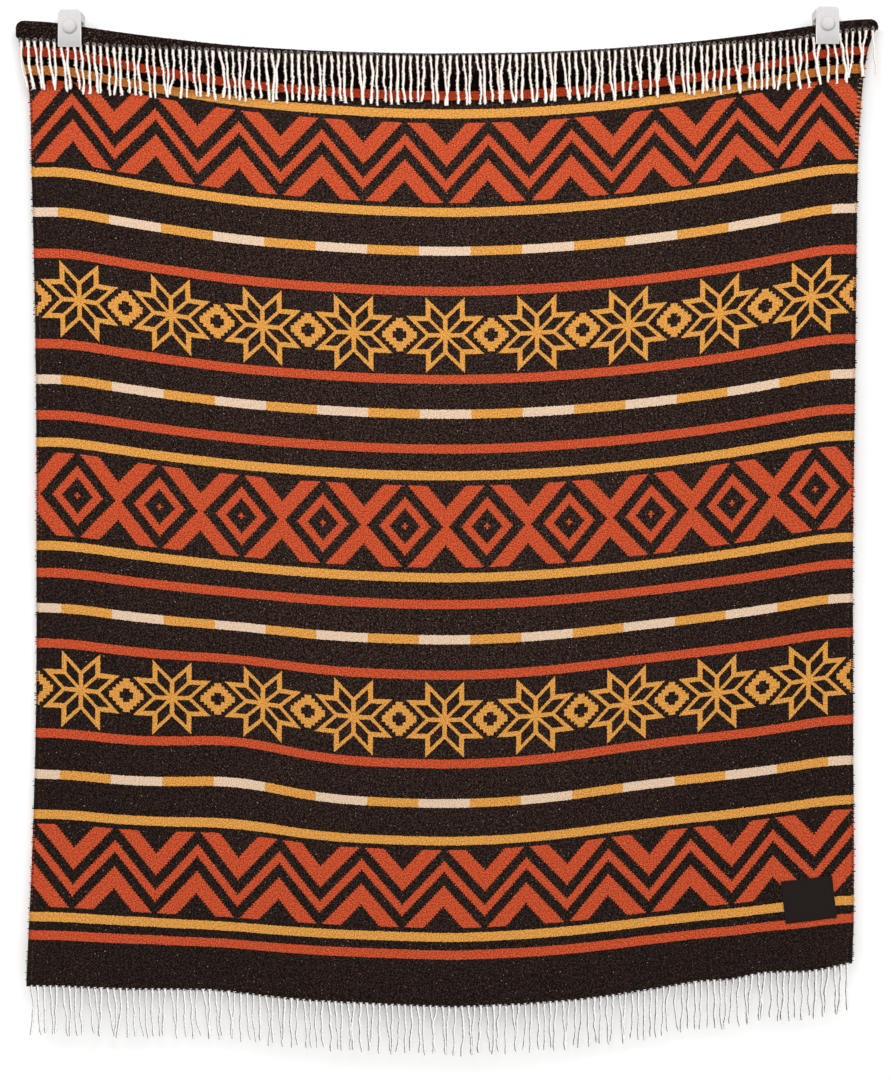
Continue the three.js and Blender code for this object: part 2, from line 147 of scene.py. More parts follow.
# Shallow creases, each a soft ridge (or trough, below zero) from one place on the cloth to another
CREASES = table(("from_x", "from_z", "to_x", "to_z", "wide", "forward"), {
    "left clip pull": (-0.560, -0.050, -0.400, -0.420, 0.030, 0.0022),
    "left clip long pull": (-0.600, -0.060, -0.590, -0.620, 0.028, 0.0018),
    "right clip pull": (0.555, -0.050, 0.440, -0.360, 0.030, 0.0020),
    "right clip long pull": (0.600, -0.060, 0.590, -0.540, 0.026, 0.0018),
    "left side trough": (-0.470, -0.300, -0.450, -0.900, 0.040, -0.0020),
    "upper middle trough": (-0.060, -0.200, 0.010, -0.420, 0.060, -0.0016),
    "left swoop trough": (-0.380, -0.985, -0.250, -1.030, 0.018, -0.0022),
    "low left ridge": (-0.350, -1.180, -0.290, -1.400, 0.045, 0.0020),
    "low right ridge": (0.420, -1.200, 0.470, -1.420, 0.040, 0.0024),
    "hem left trough": (-0.480, -1.380, -0.450, -1.500, 0.040, -0.0026),
})

# How the strands of each fringe lean, at places across the cloth
TOP_LEANS = table(("x", "lean"), {
    "left corner": (-0.670, 0.013),
    "left clip": (-0.590, 0.007),
    "left": (-0.480, 0.003),
    "left middle": (-0.240, 0.002),
    "middle": (0, 0.001),
    "right middle": (0.260, 0.003),
    "right": (0.500, 0.001),
    "right clip": (0.590, 0.003),
    "right side": (0.640, 0.000),
    "right corner": (0.665, 0.009),
})
BOTTOM_LEANS = table(("x", "lean"), {
    "left corner": (-0.670, 0.001),
    "left": (-0.450, 0.003),
    "middle": (0, 0.001),
    "right": (0.450, -0.001),
    "right corner": (0.665, 0.002),
})

# Where neighbouring strands of the top fringe cling together: the middle, the reach and the share of
# the way to the middle that their tips are drawn
TOP_CLUMPS = table(("x", "wide", "pull"), {
    "left clip pair": (-0.592, 0.008, 0.9),
    "left clip crossing": (-0.560, 0.008, 1.3),
    "left tangle": (-0.437, 0.013, 0.8),
    "left pair": (-0.328, 0.008, 0.8),
    "middle crossing": (-0.004, 0.007, 1.2),
    "right crossing": (0.541, 0.008, 1.2),
    "right clip tangle": (0.617, 0.014, 0.85),
    "right corner pair": (0.641, 0.008, 0.8),
})
BOTTOM_CLUMPS = table(("x", "wide", "pull"), {
    "left pair": (-0.626, 0.008, 0.9),
    "left tangle": (-0.519, 0.014, 0.8),
    "left crossing": (-0.450, 0.008, 1.2),
    "middle pair": (-0.090, 0.008, 0.9),
    "right pair": (0.305, 0.008, 0.8),
    "right crossing": (0.560, 0.008, 1.2),
})


def middle_of(node):
    low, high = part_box(node)
    return (low + high) / 2


CLIPS = [
    SimpleNamespace(side=side, x=middle_of(f"{side}_clip_base").x, z=middle_of(f"{side}_clip_base").z)
    for side in ("left", "right")
]
CLIP_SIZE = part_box("left_clip_front")[1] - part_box("left_clip_front")[0]
BASE_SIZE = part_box("left_clip_base")[1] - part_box("left_clip_base")[0]
PIN_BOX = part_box("left_clip_pin")


def lerp(first, second, share):
    return first + (second - first) * share


def clamp(value, low, high):
    return min(max(value, low), high)


def smooth(value, low, high):
    """0 below low, 1 above high, and an even ease between."""
    share = clamp((value - low) / (high - low), 0, 1)
    return share * share * (3 - 2 * share)


def along(rows, key, column, at):
    """A smooth curve through a column of a table: slopes at the rows come from the rows beside them."""
    last = len(rows) - 1
    keys = [getattr(row, key) for row in rows]
    values = [getattr(row, column) for row in rows]
    place = clamp(at, keys[0], keys[last])
    row = 0
    while row < last - 1 and place > keys[row + 1]:
        row += 1

    def slope(r):
        before, after = max(r - 1, 0), min(r + 1, last)
        return (values[after] - values[before]) / (keys[after] - keys[before])

    span = keys[row + 1] - keys[row]
    s = (place - keys[row]) / span
    start = (1 + 2 * s) * (1 - s) ** 2
    end = s * s * (3 - 2 * s)
    leave = s * (1 - s) ** 2 * span
    arrive = s * s * (s - 1) * span
    return start * values[row] + end * values[row + 1] + leave * slope(row) + arrive * slope(row + 1)


def freedom(x, z):
    """0 where a clip holds the cloth flat, rising to 1 away from it."""
    free = 1
    for clip in CLIPS:
        sideways = max(abs(x - clip.x) - CLIP_SIZE.x / 2 - GRIP_MARGIN, 0)
        up_down = max(abs(z - clip.z) - CLIP_SIZE.z / 2 - GRIP_MARGIN, 0)
        free = min(free, smooth(math.hypot(sideways, up_down), 0, GRIP_FADE))
    return free


def fade(fold, x, z):
    return math.exp(-(((x - fold.x) / fold.wide) ** 2) - ((z - fold.z) / fold.tall) ** 2)


CREASE_FADES = 0.3


def crease_height(crease, x, z):
    """A ridge's height at a place: it fades out sideways and towards both of its ends."""
    run = Vector((crease.to_x - crease.from_x, crease.to_z - crease.from_z))
    out = Vector((x - crease.from_x, z - crease.from_z))
    share = out.dot(run) / run.length_squared
    if not -CREASE_FADES < share < 1 + CREASE_FADES:
        return 0
    aside = abs(out.x * run.y - out.y * run.x) / run.length
    begun = smooth(share, -CREASE_FADES, CREASE_FADES)
    ended = smooth(share, 1 - CREASE_FADES, 1 + CREASE_FADES)
    return crease.forward * begun * (1 - ended) * math.exp(-((aside / crease.wide) ** 2))


# Each scale of small ripples: how wide and tall they are, their layer of the noise and their share
RIPPLES = ((0.085, 0.15, 0, 1), (0.030, 0.042, 7, 0.35))


def depth_at(x, z):
    """Depth of the cloth's middle at a place on it, with its folds, its creases and its ripples."""
    forward = sum(fold.forward * fade(fold, x, z) for fold in FOLDS)
    forward += sum(crease_height(crease, x, z) for crease in CREASES)
    ripple = bpy.context.scene.throw_cloth.ripple
    for wide, tall, layer, share in RIPPLES:
        forward += ripple * share * noise.noise(Vector((x / wide, z / tall, layer)))
    return -HANG_DEPTH - forward * freedom(x, z)


def section_at(hang):
    """The cross-line of the cloth at one distance below the fold line."""
    return SimpleNamespace(**{c: along(SECTIONS, "hang", c, hang) for c in SECTION_COLUMNS[1:]})


def sag_share(out, sag):
    """0 in the middle and 1 at the side: a power that levels off gently instead of stopping short."""
    if out <= SAG_EASES:
        return out**sag
    start = SAG_EASES**sag
    slope = sag * SAG_EASES ** (sag - 1)
    run = 2 * (1 - start) / slope
    past = min((out - SAG_EASES) / run, 1)
    return start + slope * run * (past - past * past / 2)


def place_on(section, across):
    """A place on a cross-line: across is -1 at the left edge and 1 at the right."""
    x = lerp(section.left_x, section.right_x, (across + 1) / 2)
    side = section.left_z if x < 0 else section.right_z
    plain = lerp(section.middle_z, side, sag_share(abs(x) / section.reach, section.sag))
    return x, plain + sum(fold.lift * fade(fold, x, plain) for fold in FOLDS if fold.lift)


FOLD_SECTION = section_at(0)
HEM_HANG = SECTIONS[-1].hang
HEM_SECTION = section_at(HEM_HANG)
FOLD_OVER = CUT_LONG - HEM_HANG


def flap_edge(across):
    """The lower edge of the flap that hangs in front of the fold line."""
    x, z = place_on(FOLD_SECTION, across)
    return x, z - along(FLAP, "x", "drop", x)


def hem_edge(across):
    return place_on(HEM_SECTION, across)


def corner_drop(across):
    """How far the fold line's rounded ends lie below its straight run."""
    share = max(abs(across) - CORNER_STARTS, 0) / (1 - CORNER_STARTS)
    return CORNER_DROP * (1 - math.sqrt(max(1 - share * share, 0)))


def new_object(name, data):
    """A new object in the scene, from its mesh, light or camera."""
    made = bpy.data.objects.new(name, data)
    bpy.context.scene.collection.objects.link(made)
    return made


def mesh_object(name, corners, faces, map_name, map_places):
    """A piece from its corners and faces, with one map whose places are given face by face."""
    mesh = bpy.data.meshes.new(name)
    mesh.from_pydata(corners, [], faces)
    layer = mesh.uv_layers.new(name=map_name)
    layer.data.foreach_set("uv", [value for place in map_places for value in place])
    mesh.update()
    return new_object(name, mesh)


def grid_object(name, columns, map_name):
    """A sheet from its columns of points, each of them a corner and its place on the map."""
    points = [point for column in columns for point in column]
    tall = len(columns[0])
    faces = [
        (c * tall + r, (c + 1) * tall + r, (c + 1) * tall + r + 1, c * tall + r + 1)
        for c in range(len(columns) - 1)
        for r in range(tall - 1)
    ]
    places = [points[corner][1] for face in faces for corner in face]
    return mesh_object(name, [corner for corner, _ in points], faces, map_name, places)


def keep_values(made, name, values):
    """Keeps a number at each corner of a piece, for its material."""
    made.data.attributes.new(name, "FLOAT", "POINT").data.foreach_set("value", values)


def pick(made):
    """Makes a piece the only selected one, and the active one."""
    bpy.ops.object.select_all(action="DESELECT")
    made.select_set(True)
    bpy.context.view_layer.objects.active = made


def settle():
    """Puts the active piece's place, turn and size into its mesh, so that its origin is the scene's."""
    bpy.ops.object.transform_apply(location=True, rotation=True, scale=True)
    return bpy.context.object


def add_shape(kind, **settings):
    """A new plain shape, as the active piece and the only selected one."""
    bpy.ops.object.select_all(action="DESELECT")
    getattr(bpy.ops.mesh, f"primitive_{kind}_add")(**settings)
    return settle()


@contextmanager
def editing():
    """Edit mode, for as long as a with block lasts."""
    bpy.ops.object.mode_set(mode="EDIT")
    yield
    bpy.ops.object.mode_set(mode="OBJECT")


def apply_modifier(made, kind, **settings):
    pick(made)
    modifier = made.modifiers.new(kind.title(), kind)
    for setting, value in settings.items():
        setattr(modifier, setting, value)
    bpy.ops.object.modifier_apply(modifier=modifier.name)


def finish_piece(made, material, slot, *nodes, sharp=40):
    """Gives a piece its material, smooth shading and body, and hides the solids it stands for; its slot
    is not used.
    """
    made.data.materials.clear()
    made.data.materials.append(material)
    pick(made)
    bpy.ops.object.shade_smooth_by_angle(angle=math.radians(sharp))
    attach(made, "root")
    if nodes:
        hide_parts(*nodes)
    return made


class Term:
    """A number worked out by nodes, so that a pattern reads as a formula."""

    def __init__(self, finish, socket):
        self.finish = finish
        self.socket = socket

    def maths(self, operation, *others):
        return self.finish.maths(operation, self, *others)

    def __add__(self, other):
        return self.maths("ADD", other)

    def __sub__(self, other):
        return self.maths("SUBTRACT", other)

    def __mul__(self, other):
        return self.maths("MULTIPLY", other)

    def __abs__(self):
        return self.maths("ABSOLUTE")

    def __and__(self, other):
        return self.maths("MINIMUM", other)

    def __or__(self, other):
        return self.maths("MAXIMUM", other)

    def below(self, limit):
        return self.maths("LESS_THAN", limit)

    def above(self, limit):
        return self.maths("GREATER_THAN", limit)

    def within(self, limit):
        return abs(self).below(limit)

    def around(self, middle, half):
        """1 within half of the middle, else 0."""
        return (self - middle).within(half)

    def repeated(self, pitch):
        """Counts from -pitch/2 to pitch/2, over and over."""
        return self.maths("WRAP", pitch / 2, -pitch / 2)

    def zigzag(self, pitch, tall):
        """Rises and falls between -tall/2 and tall/2, once in each pitch."""
        return self.maths("PINGPONG", pitch / 2) * (2 * tall / pitch) - tall / 2

    def stepped(self, step):
        return self.maths("SNAP", step)

    def eased(self, low, high):
        """0 at low and 1 at high, with an even ease between."""
        node = self.finish.node("ShaderNodeMapRange", interpolation_type="SMOOTHSTEP")
        for socket, value in zip(node.inputs, (self, low, high)):
            self.finish.feed(socket, value)
        return Term(self.finish, node.outputs["Result"])

    def wave(self):
        """A sine of the number of turns, from 0 to 1."""
        return self.maths("MULTIPLY", 2 * math.pi).maths("SINE") * 0.5 + 0.5


class Finish:
    """Writes a material's nodes from short calls. Each call gives an output that the next can use."""

    MIX_SHARE, MIX_FIRST, MIX_SECOND, MIX_RESULT = 0, 6, 7, 2

    def __init__(self, name):
        self.material = bpy.data.materials.new(name)
        self.material.use_nodes = True
        self.nodes = self.material.node_tree.nodes
        self.links = self.material.node_tree.links
        self.nodes.clear()

    def feed(self, socket, value):
        value = getattr(value, "socket", value)
        if isinstance(value, bpy.types.NodeSocket):
            self.links.new(value, socket)
        else:
            socket.default_value = value

    def node(self, kind, inputs=None, **settings):
        made = self.nodes.new(kind)
        for setting, value in settings.items():
            setattr(made, setting, value)
        for socket, value in (inputs or {}).items():
            self.feed(made.inputs[socket], value)
        return made

    def maths(self, operation, *values):
        made = self.node("ShaderNodeMath", operation=operation)
        for socket, value in zip(made.inputs, values):
            self.feed(socket, value)
        return Term(self, made.outputs["Value"])

    def parts(self, place):
        """A place's three numbers."""
        outputs = self.node("ShaderNodeSeparateXYZ", {"Vector": place}).outputs
        return [Term(self, outputs[axis]) for axis in "XYZ"]

    def map_place(self, map_name, size):
        """A place on the piece's own map, as two numbers, with the map's width and height given."""
        across, up, _ = self.parts(self.node("ShaderNodeUVMap", uv_map=map_name).outputs["UV"])
        return across * size[0], up * size[1]

    def object_place(self, scale=1, *others):
        """A place on the piece, scaled alike in all three directions or by three numbers."""
        place = self.node("ShaderNodeTexCoord").outputs["Object"]
        scales = (scale, *others) if others else (scale,) * 3
        return self.node("ShaderNodeMapping", {"Vector": place, "Scale": scales}).outputs["Vector"]

    def tint(self, name):
        """A number kept at each corner of the piece."""
        return Term(self, self.node("ShaderNodeAttribute", attribute_name=name).outputs["Fac"])

    def vector(self, x, y, z=0):
        made = self.node("ShaderNodeCombineXYZ")
        for socket, value in zip(made.inputs, (x, y, z)):
            self.feed(socket, value)
        return made.outputs["Vector"]

    def noise(self, place, scale, detail=2, rough=0.55):
        inputs = {"Vector": place, "Scale": scale, "Detail": detail, "Roughness": rough}
        return Term(self, self.node("ShaderNodeTexNoise", inputs).outputs["Fac"])

    def mix(self, share, first, second, blend="MIX"):
        made = self.node("ShaderNodeMix", data_type="RGBA", blend_type=blend)
        self.feed(made.inputs[self.MIX_SHARE], share)
        self.feed(made.inputs[self.MIX_FIRST], first)
        self.feed(made.inputs[self.MIX_SECOND], second)
        return made.outputs[self.MIX_RESULT]

    def bump(self, height, deep, strength=1):
        inputs = {"Height": height, "Distance": deep, "Strength": strength}
        return self.node("ShaderNodeBump", inputs).outputs["Normal"]

    def surface(self, **inputs):
        """The finished surface: an input's name has _ for each space."""
        named = {name.replace("_", " "): value for name, value in inputs.items()}
        shader = self.node("ShaderNodeBsdfPrincipled", named).outputs["BSDF"]
        self.node("ShaderNodeOutputMaterial", {"Surface": shader})
        return self.material


def shade(colour, factor):
    """A colour made lighter or darker, as red, green, blue and alpha."""
    return (*(channel * factor for channel in colour[:3]), 1)


# The woven design, in millimetres of the flat cloth. It is the same above and below the middle, so its
# stripes and bands are placed by their distance from there.
STRIPE_HALF = 7.1
OCHRE_STRIPES = (80, 498, 656)
RUST_STRIPES = (122, 232, 372, 684)
BLOCK_STRIPES = (177, 436)
BLOCK_PITCH = 158.75
ZIGZAG_BANDS = (0, 577)
SIDE_SEAM_IN = 7.5
SIDE_SEAM_HALF = 0.9
ZIGZAG_HALF = 64
ZIGZAG_PITCH = 127
ZIGZAG_TALL = 74
ZIGZAG_STEP = 3.175
CHEVRON_CORE = 9
CHEVRON_GAP_ENDS = 32
CHEVRON_OUTER_GAP = 66
STAR_BAND = 302
STAR_PITCH = 1270 / 9
STAR_PETAL = 30
STAR_SEAM = 3.4
STAR_RIM = 7.5
LOZENGE_REACH = 25
LOZENGE_HOLE = 10
LOZENGE_STEP = 5.3


def zigzag_band(across, off):
    """A zigzag line with finely stepped edges between two filled sides, within straight limits."""
    from_line = abs(off - across.stepped(ZIGZAG_STEP).zigzag(ZIGZAG_PITCH, ZIGZAG_TALL))
    filled = from_line.above(CHEVRON_GAP_ENDS) & from_line.below(CHEVRON_OUTER_GAP)
    return (from_line.below(CHEVRON_CORE) | filled) & off.within(ZIGZAG_HALF)


def star(across, off):
    """An eight-pointed star, drawn as the outlines of its eight petals."""
    a = abs(across.repeated(STAR_PITCH))
    b = abs(off)
    near = a & b
    apart = abs(a - b)
    petals = near.below(STAR_PETAL) & apart.below(STAR_PETAL)
    seams = near.below(STAR_SEAM) | apart.below(STAR_SEAM)
    rims = near.above(STAR_PETAL - STAR_RIM) | apart.above(STAR_PETAL - STAR_RIM)
    return petals & (seams | rims)


def lozenge(across, off):
    """A hollow stepped lozenge, midway between two stars."""
    a = abs((across + STAR_PITCH / 2).repeated(STAR_PITCH)).stepped(LOZENGE_STEP)
    reach = a + abs(off).stepped(LOZENGE_STEP)
    return reach.below(LOZENGE_REACH) & reach.above(LOZENGE_HOLE)


def any_of(shapes):
    return reduce(or_, shapes)


def woven_design(across, down):
    """Where the rust, ochre and cream yarns show, each as 1 or 0. Each covers the ones before it."""
    from_middle = abs(down - CUT_LONG / MM / 2)
    rust, ochre, block = (
        any_of([from_middle.around(middle, STRIPE_HALF) for middle in middles])
        for middles in (RUST_STRIPES, OCHRE_STRIPES, BLOCK_STRIPES)
    )
    bands = any_of([zigzag_band(across, from_middle - middle) for middle in ZIGZAG_BANDS])
    figures = star(across, from_middle - STAR_BAND) | lozenge(across, from_middle - STAR_BAND)
    return {
        "rust": rust | bands,
        "ochre": ochre | block | figures,
        "cream": across.repeated(BLOCK_PITCH).within(BLOCK_PITCH / 4) & block,
    }


# Half the cut's width, in millimetres like the rest of the woven cloth's numbers
HALF_WIDE = CUT_WIDE / MM / 2
# How far down the cut the painted sheen is brightest, and how far from there it fades, across and down
SHEEN_MIDDLE = 620
SHEEN_REACH = (620, 760)
# Between these distances down the cut the flap's look gives way to the body's
FLAP_ENDS = (42, 34)
THREAD_PITCH = 1.6
# The darkest and the palest dye of each yarn, by its colour
DYES = {"rust": (0.46, 1.46), "ochre": (0.60, 1.32), "cream": (0.75, 1.18)}
# Painted shade: the tint that multiplies the design's yarns under the top fringe
FRINGE_SHADE_TINT = (0.64, 0.46, 0.38, 1)
# Painted shade: the near-black that the ground is painted towards where it is painted darker
PAINTED_SHADE_COLOUR = (0.001, 0.0005, 0.0004, 1)


def woven_cloth(settings):
    """Napped jacquard: a dark ground full of paler flecks, with a design in rust, ochre and cream."""
    finish = Finish("woven_cloth")
    across, down = finish.map_place("flat_cut", (CUT_WIDE / MM, CUT_LONG / MM))
    flat = finish.vector(across, down)
    fuzz_across = (finish.noise(flat, 0.42, 1) - 0.5) * settings.edge_fuzz
    fuzz_down = (finish.noise(finish.vector(down, across, 9), 0.42, 1) - 0.5) * settings.edge_fuzz
    design = woven_design(across + fuzz_across - HALF_WIDE, down + fuzz_down)

    # Short fibres lie along both diagonals of the weave
    rising, falling = across + down, across - down
    streaks = finish.noise(finish.vector(rising * 0.46, falling * 0.17), 1, 1)
    streaks = streaks | finish.noise(finish.vector(falling * 0.46, rising * 0.17, 5), 1, 1)
    flecks = streaks.eased(0.55, 0.70)
    pale_hairs = finish.noise(flat, 0.62, 1).eased(0.60, 0.72)
    lint = finish.noise(finish.vector(across, down, 20), 0.40, 0).eased(0.80, 0.86)
    dyed = finish.noise(flat, 0.50, 2).eased(0.38, 0.62)

    # A line of small stitches runs along each side, a little way in
    side_seam = abs(across - HALF_WIDE).around(HALF_WIDE - SIDE_SEAM_IN, SIDE_SEAM_HALF)
    seam_specks = side_seam * finish.noise(flat, 0.30, 1).eased(0.52, 0.62)

    # Painted sheen lights the upper middle; painted shade darkens the sides, hem, flap and under the
    # fringe
    out_across = (across * (1 / SHEEN_REACH[0]) - HALF_WIDE / SHEEN_REACH[0]).maths("POWER", 2)
    out_down = (down * (1 / SHEEN_REACH[1]) - SHEEN_MIDDLE / SHEEN_REACH[1]).maths("POWER", 2)
    mottle_and_shade = finish.noise(flat, 0.011, 3).eased(0.3, 0.7) * 0.3
    painted_sheen = (out_across + out_down + mottle_and_shade).eased(1.8, 0)
    on_flap = down.eased(*FLAP_ENDS)
    fringe_shade = finish.tint("under_fringe")

    ground = finish.mix(flecks, shade(settings.ground, 0.14), shade(settings.ground, 3.3))
    ground = finish.mix(pale_hairs * 0.7, ground, shade(settings.ground, 8.5))
    ground = finish.mix(seam_specks * 0.6, ground, shade(settings.ground, 9))
    painted_shade = (painted_sheen * -0.42 + 0.42) | on_flap * 0.86 | fringe_shade * 0.93
    ground = finish.mix(painted_shade, ground, PAINTED_SHADE_COLOUR)

    # The flap is short, so its flecks come from their place and not from the cut's map
    flap_flecks = finish.noise(finish.object_place(1 / MM), 0.46, 1).eased(0.54, 0.68)
    ground = finish.mix(on_flap * flap_flecks * 0.9, ground, shade(settings.ground, 3.7))
    colour = ground
    for name, (dark, light) in DYES.items():
        yarn = getattr(settings, name)
        shaded = finish.mix(dyed, shade(yarn, dark), shade(yarn, light))
        shaded = finish.mix(pale_hairs * 0.30, shaded, shade(yarn, 1.6))
        shaded = finish.mix(fringe_shade, shaded, FRINGE_SHADE_TINT, "MULTIPLY")
        colour = finish.mix(design[name], colour, shaded)
    colour = finish.mix(lint * 0.8, colour, shade(settings.cream, 0.7))

    along_thread = across * (1 / THREAD_PITCH) + down * (1 / THREAD_PITCH / 2)
    threads = along_thread.wave() * (down * (1 / THREAD_PITCH)).wave()
    height = threads * 0.35 + streaks * 0.8 + finish.noise(flat, 0.16, 2) * 0.5
    return finish.surface(
        Base_Color=colour,
        Roughness=0.96,
        Specular_IOR_Level=fringe_shade * -0.06 + 0.07,
        Sheen_Weight=((fringe_shade * 0.9 | on_flap * 0.85) * -1 + 1) * settings.nap_sheen,
        Sheen_Roughness=0.55,
        Sheen_Tint=(1, 0.80, 0.70, 1),
        Normal=finish.bump(height, 0.55 * MM, 0.8),
    )


KNOT_COLOUR = (0.028, 0.018, 0.014, 1)


def fringe_yarn(settings, name, yarn, sides):
    """Two-ply natural yarn: a spiral groove round each strand with painted shade in it, loose fibres,
    and painted shade down its sides.
    """
    finish = Finish(name)
    around, down = finish.map_place("strand", (1, settings.turns))
    tint = finish.tint("strand_tint")
    place = finish.object_place(1 / MM)
    fibres = finish.noise(place, 1.1, 2)
    knots = finish.noise(place, 0.55, 1)
    twist = (around * 2 + down + fibres * 0.4).wave()
    # Painted shade: the yarn is painted darker in its spiral groove
    groove_shade = finish.mix(twist.eased(0.0, 0.35), shade(yarn, 0.86), yarn)
    mottle_and_shade = finish.mix(fibres.eased(0.42, 0.75) * 0.4, groove_shade, shade(yarn, 0.80))

    # The map's sides, 0 and 1, are a strand's right, and its middle is a strand's left
    from_left = abs(around - 0.5)
    # Painted shade: both sides of each strand are painted darker towards the sides' colour, broken up
    # by the noise
    left_shade, right_shade = from_left.eased(*sides.left), from_left.eased(*sides.right)
    side_shade = left_shade * sides.left_dark | right_shade * sides.right_dark
    mottle_and_shade = finish.mix(side_shade * (knots.eased(0.35, 0.6) * 0.55 + 0.45), mottle_and_shade, (*sides.colour, 1))
    knotted = tint * (knots.eased(0.62, 0.40) * 0.26 + 0.74)
    colour = finish.mix(knotted, mottle_and_shade, KNOT_COLOUR)
    height = twist * 0.5 + fibres * 0.7
    return finish.surface(
        Base_Color=colour,
        Roughness=0.92,
        Specular_IOR_Level=0.2,
        Sheen_Weight=0.2,
        Sheen_Roughness=0.5,
        Normal=finish.bump(height, 0.5 * MM, 0.7),
    )


STITCH_TINTS = {"dark": 0, "rust": 0.33, "cream": 0.66, "ochre": 1}


def edge_thread(settings):
    """Overlocking thread: the tint of each stitch chooses its yarn."""
    finish = Finish("edge_thread")
    tint = finish.tint("stitch_tint")
    fibres = finish.noise(finish.object_place(1 / MM), 1.6, 2)
    dark = shade(settings.ground, 0.4)
    colour = dark
    for yarn, bright in (("rust", 0.85), ("cream", 0.85), ("ochre", 0.95)):
        chosen = tint.above(STITCH_TINTS[yarn] - 0.1)
        colour = finish.mix(chosen, colour, shade(getattr(settings, yarn), bright))
    colour = finish.mix(fibres.eased(0.4, 0.7) * 0.3, colour, dark)
    return finish.surface(
        Base_Color=colour,
        Roughness=0.85,
        Specular_IOR_Level=0.25,
        Normal=finish.bump(fibres, 0.3 * MM, 0.6),
    )


def label_tape(settings):
    """Blank satin tape: fine ribs across it, and a few paler slubs."""
    finish = Finish("label_tape")
    across, up = finish.map_place("tape_face", (settings.label_wide / MM, settings.label_tall / MM))
    ribs = (up * (1 / 0.9) + finish.noise(finish.vector(across, up), 0.5, 1) * 0.3).wave()
    slubs = finish.noise(finish.vector(across * 0.08, up), 1.4, 1)
    colour = finish.mix(ribs, shade(settings.label, 0.8), shade(settings.label, 1.2))
    colour = finish.mix(slubs.eased(0.6, 0.75) * 0.25, colour, shade(settings.label, 2.2))
    return finish.surface(
        Base_Color=colour,
        Roughness=0.80,
        Specular_IOR_Level=0.12,
        Normal=finish.bump(ribs * 0.6 + slubs, 0.12 * MM, 0.6),
    )


FRONT_PLATES_AT = -20
RIM_COLOUR = (0.80, 0.79, 0.785, 1)


def clip_plastic(settings):
    """Pale moulded plastic with a fine spark-eroded grain, a little grime in its roughness, and painted
    shade lower down.
    """
    finish = Finish("clip_plastic")
    place = finish.object_place(1 / MM)
    grain = finish.noise(place, 1.5, 3)
    grime_and_shade = finish.noise(place, 0.09, 3)
    across, deep, height = finish.parts(place)
    # Painted shade: the plastic is painted darker towards the bottom, unevenly
    painted_low_shade = (height + grime_and_shade * 16).eased(14, -34)
    specks = grain.eased(0.50, 0.70) * 0.4
    mottle = finish.noise(place, 0.55, 1).eased(0.50, 0.66) * 0.35
    colour = settings.plastic
    for share, dark in ((painted_low_shade, 0.70), (specks, 0.76), (mottle, 0.78)):
        colour = finish.mix(share, colour, shade(settings.plastic, dark))

    # The front plates' edges catch the light, most of all low down
    left, right = CLIPS
    own_height = height - across.above(0) * ((right.z - left.z) / MM) - left.z / MM
    from_middle = abs(abs(across) - right.x / MM)
    half_wide, half_tall = CLIP_SIZE.x / MM / 2, CLIP_SIZE.z / MM / 2
    rims = from_middle.eased(half_wide - 1.5, half_wide - 0.8) & own_height.eased(6, -8)
    rims = rims | own_height.eased(1.3 - half_tall, 0.6 - half_tall) * 0.75
    colour = finish.mix(rims * deep.below(FRONT_PLATES_AT) * 0.8, colour, RIM_COLOUR)

    # Painted shade: the corner round each boss is darker, most of all below and to its right
    aside = across - (across.above(0) * 2 - 1) * (right.x / MM)
    up = own_height - BOSS_UP / MM
    from_boss = (aside * aside + up * up).maths("POWER", 0.5)
    corner = abs(from_boss - BOSS_RADIUS / MM).eased(2.4, 0.4) * (aside * 0.6 - up).eased(-5, 11)
    colour = finish.mix(corner * 0.75, colour, shade(settings.plastic, 0.60))
    return finish.surface(
        Base_Color=colour,
        Roughness=grime_and_shade.eased(0.2, 0.8) * 0.14 + 0.42,
        Specular_IOR_Level=0.4,
        Normal=finish.bump(grain, 0.05 * MM, 0.5),
    )


def clip_steel(settings):
    """Drawn steel wire, with faint lines along it."""
    finish = Finish("clip_steel")
    lines = finish.noise(finish.object_place(60, 2500, 2500), 1, 2)
    colour = finish.mix(lines, shade(settings.steel, 0.8), settings.steel)
    return finish.surface(
        Base_Color=colour,
        Metallic=1,
        Roughness=lines * 0.2 + 0.22,
        Normal=finish.bump(lines, 0.03 * MM, 0.5),
    )


def colour_prop(name, description, default):
    return bpy.props.FloatVectorProperty(
        name=name, description=description, default=(*default, 1), size=4, subtype="COLOR", min=0, max=1
    )


def number_prop(name, description, default, **more):
    kind = bpy.props.IntProperty if isinstance(default, int) else bpy.props.FloatProperty
    return kind(name=name, description=description, default=default, **more)


def length_prop(name, description, default):
    return number_prop(name, description, default, unit="LENGTH", subtype="DISTANCE", precision=4)


class ThrowCloth(bpy.types.PropertyGroup):
    """Sizes and colours of the cloth and its label."""

    thick: length_prop("Thickness", "How thick the cloth is", 0.002)
    ripple: length_prop("Ripple", "How far the cloth's small ripples stand out", 0.0013)
    edge_fuzz: number_prop("Edge Fuzz", "How far the yarns stray at a colour's edge, in mm", 2.8)
    nap_sheen: number_prop("Nap Sheen", "How much the raised fibres catch the light", 0.05)
    ground: colour_prop("Ground", "The dark ground's yarn", (0.0215, 0.0116, 0.0087))
    rust: colour_prop("Rust", "The rust yarn", (0.465, 0.064, 0.0215))
    ochre: colour_prop("Ochre", "The ochre yarn", (0.605, 0.272, 0.054))
    cream: colour_prop("Cream", "The cream yarn", (0.650, 0.475, 0.340))
    label: colour_prop("Label", "The blank label's tape", (0.0118, 0.0072, 0.0062))
    label_wide: length_prop("Label Width", "The label's width", 0.080)
    label_tall: length_prop("Label Height", "The label's height", 0.066)
    label_thick: length_prop("Label Thickness", "The label's thickness", 0.0008)
    stitch_pitch: length_prop("Stitch Pitch", "From one overlocking stitch to the next", 0.0035)


